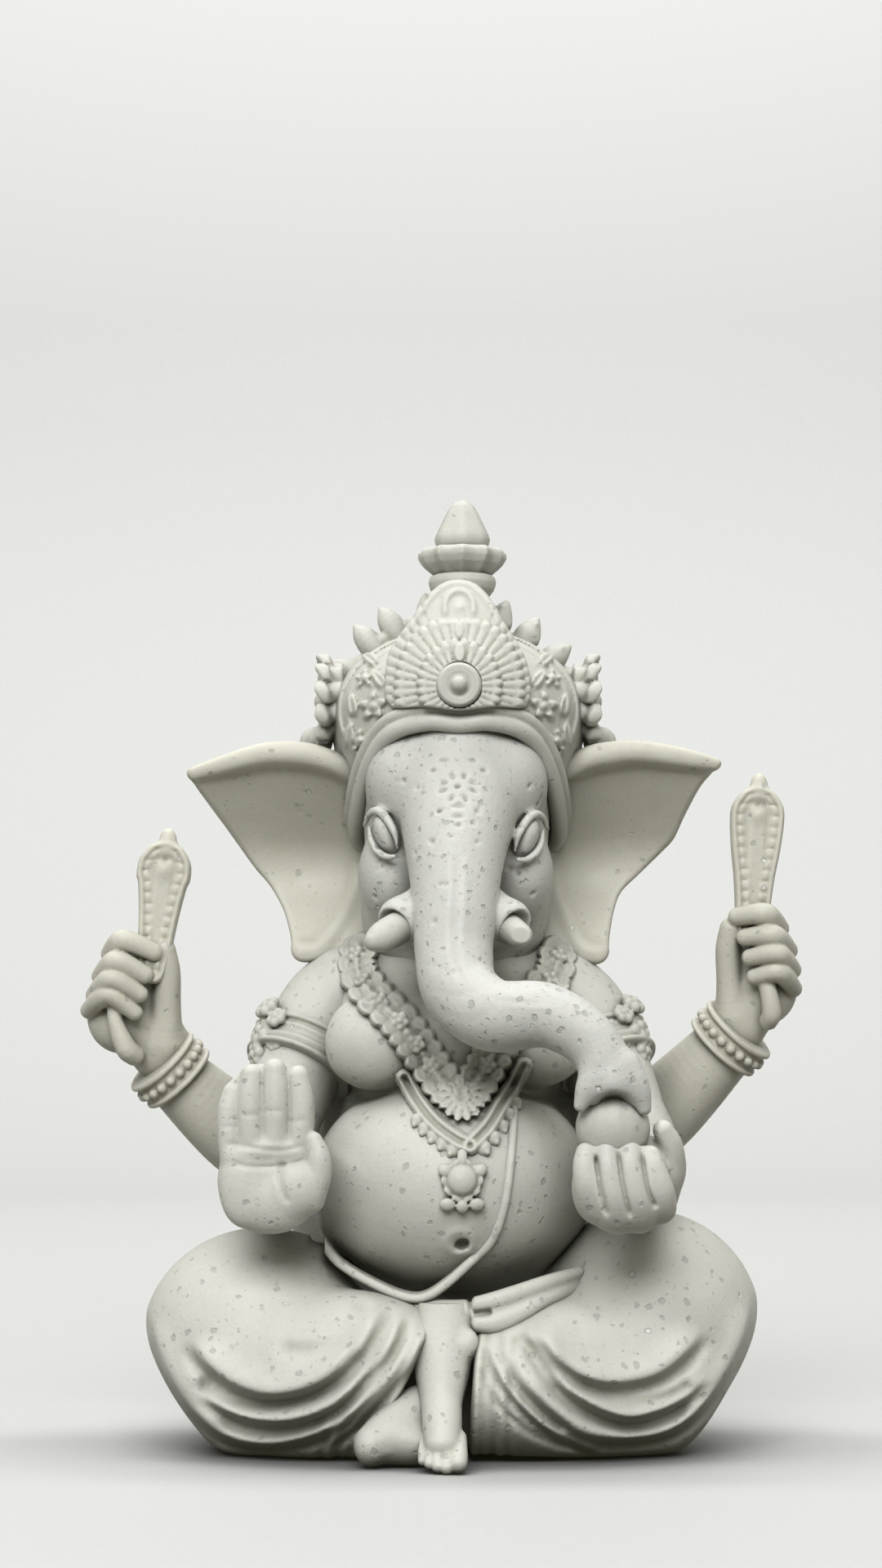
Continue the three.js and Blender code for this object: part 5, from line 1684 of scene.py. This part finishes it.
def armlet(name, node, centre, axis, wide, flower, cluster):
    """A ribbed band round the upper arm, with a cluster of flowers on its outer side."""
    at = Spot(node)
    clay = Clay(at.low - 1.4, at.high + 1.4, 0.24)
    axis = np.array(axis, float) / np.linalg.norm(axis)
    clay.add(Ring(centre, axis, wide - 1.6, wide + 0.45, 5.0, 0.4), 0, 1)
    for shift, proud in ((-2.3, 1.2), (2.3, 1.2), (-0.9, 0.75), (0.9, 0.75)):
        clay.add(Ring(centre + axis * shift, axis, wide - 1, wide + proud, 0.85, 0.4), 0.2, 1)
    for middle, size in cluster:
        middle = flower + np.array(middle)
        facing = middle - centre
        facing /= np.linalg.norm(facing)
        helper = np.cross(facing, axis)
        helper /= np.linalg.norm(helper)
        other = np.cross(facing, helper)
        for step in range(6):
            turn = 2 * math.pi * step / 6 + size
            petal = middle + (helper * math.cos(turn) + other * math.sin(turn)) * size * 0.62
            clay.add(Lump(petal, (size * 0.44, size * 0.44, size * 0.44)), 0.15, 1)
        clay.add(Lump(middle + facing * size * 0.25, (size * 0.36, size * 0.36, size * 0.36)), 0.1, 1)
    cast(name, clay, [node], "marble_ornament")


arms()
raised_hand()
giving_hand()
fists()
for hand, foot, tip in (
    ("right", (-0.5, 0, -1.7), (1.8, 0, 18.5)),
    ("left", (-0.8, 0, -2.8), (0.6, 0, 20.7)),
):
    at = Spot(hand + "_mace")
    mace(hand + "_paddle_mace", hand + "_mace", at(*foot), at(*tip))
for hand, axis in (("right", (-0.66, -0.28, 0.7)), ("left", (0.64, -0.28, 0.71))):
    bracelet(hand + "_beaded_bracelet", hand + "_bracelet", Spot(hand + "_bracelet").mid, axis, 5.5)
# the flowers on an armlet: where they are from the middle of the bunch, and their size
bunch = (
    ((0, -1.2, 0.4), 2.5), ((0.6, -0.6, 4.2), 2.1), ((-1.0, -1.6, -3.2), 2.1), ((2.2, -3.2, 2.6), 1.8),
    ((-0.2, 2.2, 1.4), 2.2), ((1.9, -3.6, -1.4), 1.5),
)
for hand, side, middle, axis, wide, flower in (
    ("right", 1, (3.5, 0.6, -1.2), (-0.38, -0.44, -0.81), 7.7, (-2.8, -1.4, 2.4)),
    ("left", -1, (-4.5, 0.1, -1.1), (0.38, -0.42, -0.82), 7.4, (1.1, -1.8, 2.7)),
):
    at = Spot(hand + "_armlet")
    flowers = [((side * x, y, z), size) for (x, y, z), size in bunch]
    armlet(hand + "_flowered_armlet", hand + "_armlet", at(*middle), axis, wide, at(*flower), flowers)

# ---------------------------------------------------------------------------------------------------------
# What lies on the chest and the belly


NOTHING = -9.0  # the height of a relief where there is none of it


def skin_relief(name, node, height, grain, below, extra=None, margin=(1.5, 3, 1.5)):
    """A thin relief that lies on the torso. height(x, z) is how far it stands above the skin, or NOTHING."""
    at = Spot(node)
    clay = model_torso(Clay(at.low - margin, at.high + margin, grain))
    x, y, z = clay.everywhere()
    tall = height(x[:, 0], z[0]).astype(np.float32)[:, None, :]
    front = torso_at.mid[1] + 12
    shell = np.maximum(clay.field - tall, -clay.field - below)
    shell = np.maximum(shell, -(tall + 0.5) * 1.2)
    clay.field = np.maximum(shell, y - front).astype(np.float32)
    if extra:
        extra(clay)
    cast(name, clay, [node], "marble_ornament")


def torso_front(node, grain):
    """A bare torso under a node's box, to ask where its front is."""
    at = Spot(node)
    return model_torso(Clay(at.low - (2, 4, 2), at.high + (2, 6, 2), grain))


def garland():
    at = Spot("collar_garland")
    left = Route(at.flat([
        (-14.8, 12.1), (-14.8, 8), (-12, 4), (-8.1, 0.2), (-5.4, -3.6), (-2.8, -7.5), (0, -11),
        (1.4, -13),
    ]))
    right = Route(at.flat([
        (17.1, 11.6), (16.2, 7.6), (13, 4.2), (9.8, 0.4), (7.2, -3.6), (5, -7.6), (2.8, -11),
        (1.6, -13),
    ]))

    def height(x, z):
        best = np.full(np.broadcast_shapes(x.shape, z.shape), NOTHING)
        for route in (left, right):
            gap, _, along = route.measure(x, z)
            phase = petals(along * 2 * math.pi, 15.0)
            wide = 3.5 - 0.55 * phase**2 - 1.0 * smooth_step(0.8, 1, along)
            leafy = 0.5 * np.sqrt(np.maximum(1 - phase**2, 0)) * smooth_step(0.8, 1.6, gap)
            rim = 0.35 * bump(gap - wide + 0.8, 0.5)
            rib = 0.75 * bump(gap, 0.62) * (0.8 + 0.2 * np.cos(along * 150))
            tall = 1.0 + leafy + rim + rib
            edge = np.clip((wide - gap) / 0.5, 0, 1)
            best = np.maximum(best, np.where(gap < wide, tall * (0.45 + 0.55 * edge), NOTHING))
        centre = at(1.6, 12.7, -11)
        u, v = x - centre[0], z - centre[2]
        turn = np.arctan2(u, -v)
        out = np.hypot(u, v * 0.95)
        phase = petals(turn, 15)
        fan = (out < 4.0 - 0.6 * phase**2) & (v < 1.5)
        tall = 1.3 + 0.6 * np.sqrt(np.maximum(1 - phase**2, 0)) * smooth_step(0.8, 2, out) - 0.1 * out
        return np.maximum(best, np.where(fan, tall, NOTHING))

    def buds(clay):
        """Small flowers along the collar and on the shoulders."""
        for route in (left, right):
            for share in (0.05, 0.2, 0.34, 0.48, 0.62, 0.75):
                x, z = route.at(share)
                y = clay.front(x, z)
                for step in range(5):
                    turn = 2 * math.pi * step / 5 + share * 9
                    petal = (x + 0.95 * math.sin(turn), y + 0.15, z + 0.95 * math.cos(turn))
                    clay.add(Lump(petal, (0.62, 0.6, 0.62)), 0.15, 1)
                clay.add(Lump((x, y - 0.1, z), (0.55, 0.6, 0.55)), 0.1, 1)

    skin_relief("petalled_collar_garland", "collar_garland", height, 0.24, 1.3, buds)


def necklace():
    at = Spot("long_necklace")
    cords = [
        Route(at.flat([
            (-8.2, 5), (-7.3, 3.4), (-5.9, 1.2), (-3.5, -1.6), (-0.4, -3.9), (1.8, -4.9),
        ])),
        Route(at.flat([(10.1, 6.9), (8.7, 4.2), (6.5, 1), (4.6, -2), (1.8, -4.9)])),
    ]

    def height(x, z):
        best = np.full(np.broadcast_shapes(x.shape, z.shape), NOTHING)
        for route in cords:
            gap, _, _ = route.measure(x, z)
            twin = 0.95 * np.maximum(bump(gap - 0.75, 0.5), bump(gap + 0.75, 0.5))
            tall = np.where(gap < 1.5, 0.35 + twin, NOTHING)
            best = np.maximum(best, tall)
        return best

    def drops(clay):
        bare = torso_front("long_necklace", 0.5)
        for route, outer, shares in (
            (cords[0], -1, (0.42, 0.54, 0.66, 0.78, 0.9)),
            (cords[1], 1, (0.36, 0.5, 0.64, 0.78, 0.92)),
        ):
            for share in shares:
                x, z = route.at(share)
                x, z = x + outer * 1.2, z - 1.35
                y = bare.front(x, z)
                clay.add(Lump((x, y, z), (1.05, 1.0, 1.25), (0, outer * 35, 0)), 0.15, 1)
                clay.add(Lump((x + outer * 0.5, y - 0.6, z - 0.5), (0.5, 0.6, 0.5)), 0.1, 1)

    skin_relief("double_cord_necklace", "long_necklace", height, 0.22, 1.2, drops)


# (across, up, half width, half height) of the leaves round the pendant, from its middle
PENDANT_LEAVES = (
    (0, -3.9, 1.0, 1.0), (-2.2, -3.6, 1.2, 1.0), (2.2, -3.6, 1.2, 1.0), (-2.7, 1.5, 1.0, 1.0),
    (2.8, 1.5, 1.0, 1.0), (0, 3.4, 0.9, 1.3),
)


def pendant():
    at = Spot("pendant")
    centre = at(-0.1, 33.6, 1.5)

    def height(x, z):
        u, v = x - centre[0], z - centre[2]
        out = np.hypot(u, v)
        turn = np.arctan2(u, v)
        phase = petals(turn, 10)
        frill = 1.0 + 0.35 * (1 - phase**2) * smooth_step(2.0, 2.8, out)
        tall = np.where(out < 3.2 - 0.3 * phase**2, frill, NOTHING)
        dome = 1.3 + 1.2 * np.sqrt(np.maximum(1 - (out / 2.3) ** 2, 0)) - 0.3 * bump(out - 2.3, 0.3)
        tall = np.maximum(tall, np.where(out < 2.3, dome, NOTHING))
        for du, dv, wide, long in PENDANT_LEAVES:
            leaf = np.hypot((u - du) / wide, (v - dv) / long)
            swell = 0.9 + 0.75 * np.sqrt(np.maximum(1 - leaf**2, 0))
            tall = np.maximum(tall, np.where(leaf < 1, swell, NOTHING))
        return tall

    skin_relief("flower_pendant", "pendant", height, 0.2, 1.2, margin=(2, 2.5, 2))


CORD_RADIUS = 0.72


def sacred_thread():
    at = Spot("sacred_thread")
    bare = torso_front("sacred_thread", 0.4)
    line = at.flat([(12.2, 15.5), (11.7, 9.3), (11, 2.6), (10.1, -1.9), (8.5, -5.9), (5.5, -9.1)])
    clay = Clay(at.low - (3.5, 2.5, 1.5), at.high + (1.5, 5, 2), 0.24)
    # down the belly it lies on the skin, then it rests on the cloth of the leg
    resting = at.path([
        (5.5, -4.4, -8.9), (2.1, -4.2, -12), (-1.3, -3.8, -14.2), (-4.6, -3, -14.2), (-9.3, -1, -12.4),
        (-14.3, 1.6, -9.6), (-17.1, 4.2, -6.5),
    ])
    deepest = resting[0][1] + 12
    points = [(x, min(bare.front(x, z) + 0.05, deepest), z) for x, z in spline(line, 4)[:-1]]
    points += [tuple(point) for point in spline(resting, 4)]
    clay.add(Limb([(*point, CORD_RADIUS) for point in points], 1), 0, 1)
    # the cord is cast in one with the stone behind it
    for back in (1.2, 2.4, 3.6):
        clay.add(Limb([(x, y + back, z + 0.1, 0.7) for x, y, z in points], 1), 0.3, 1)
    cast("sacred_thread_cord", clay, ["sacred_thread"], "marble_body")


garland()
necklace()
pendant()
sacred_thread()
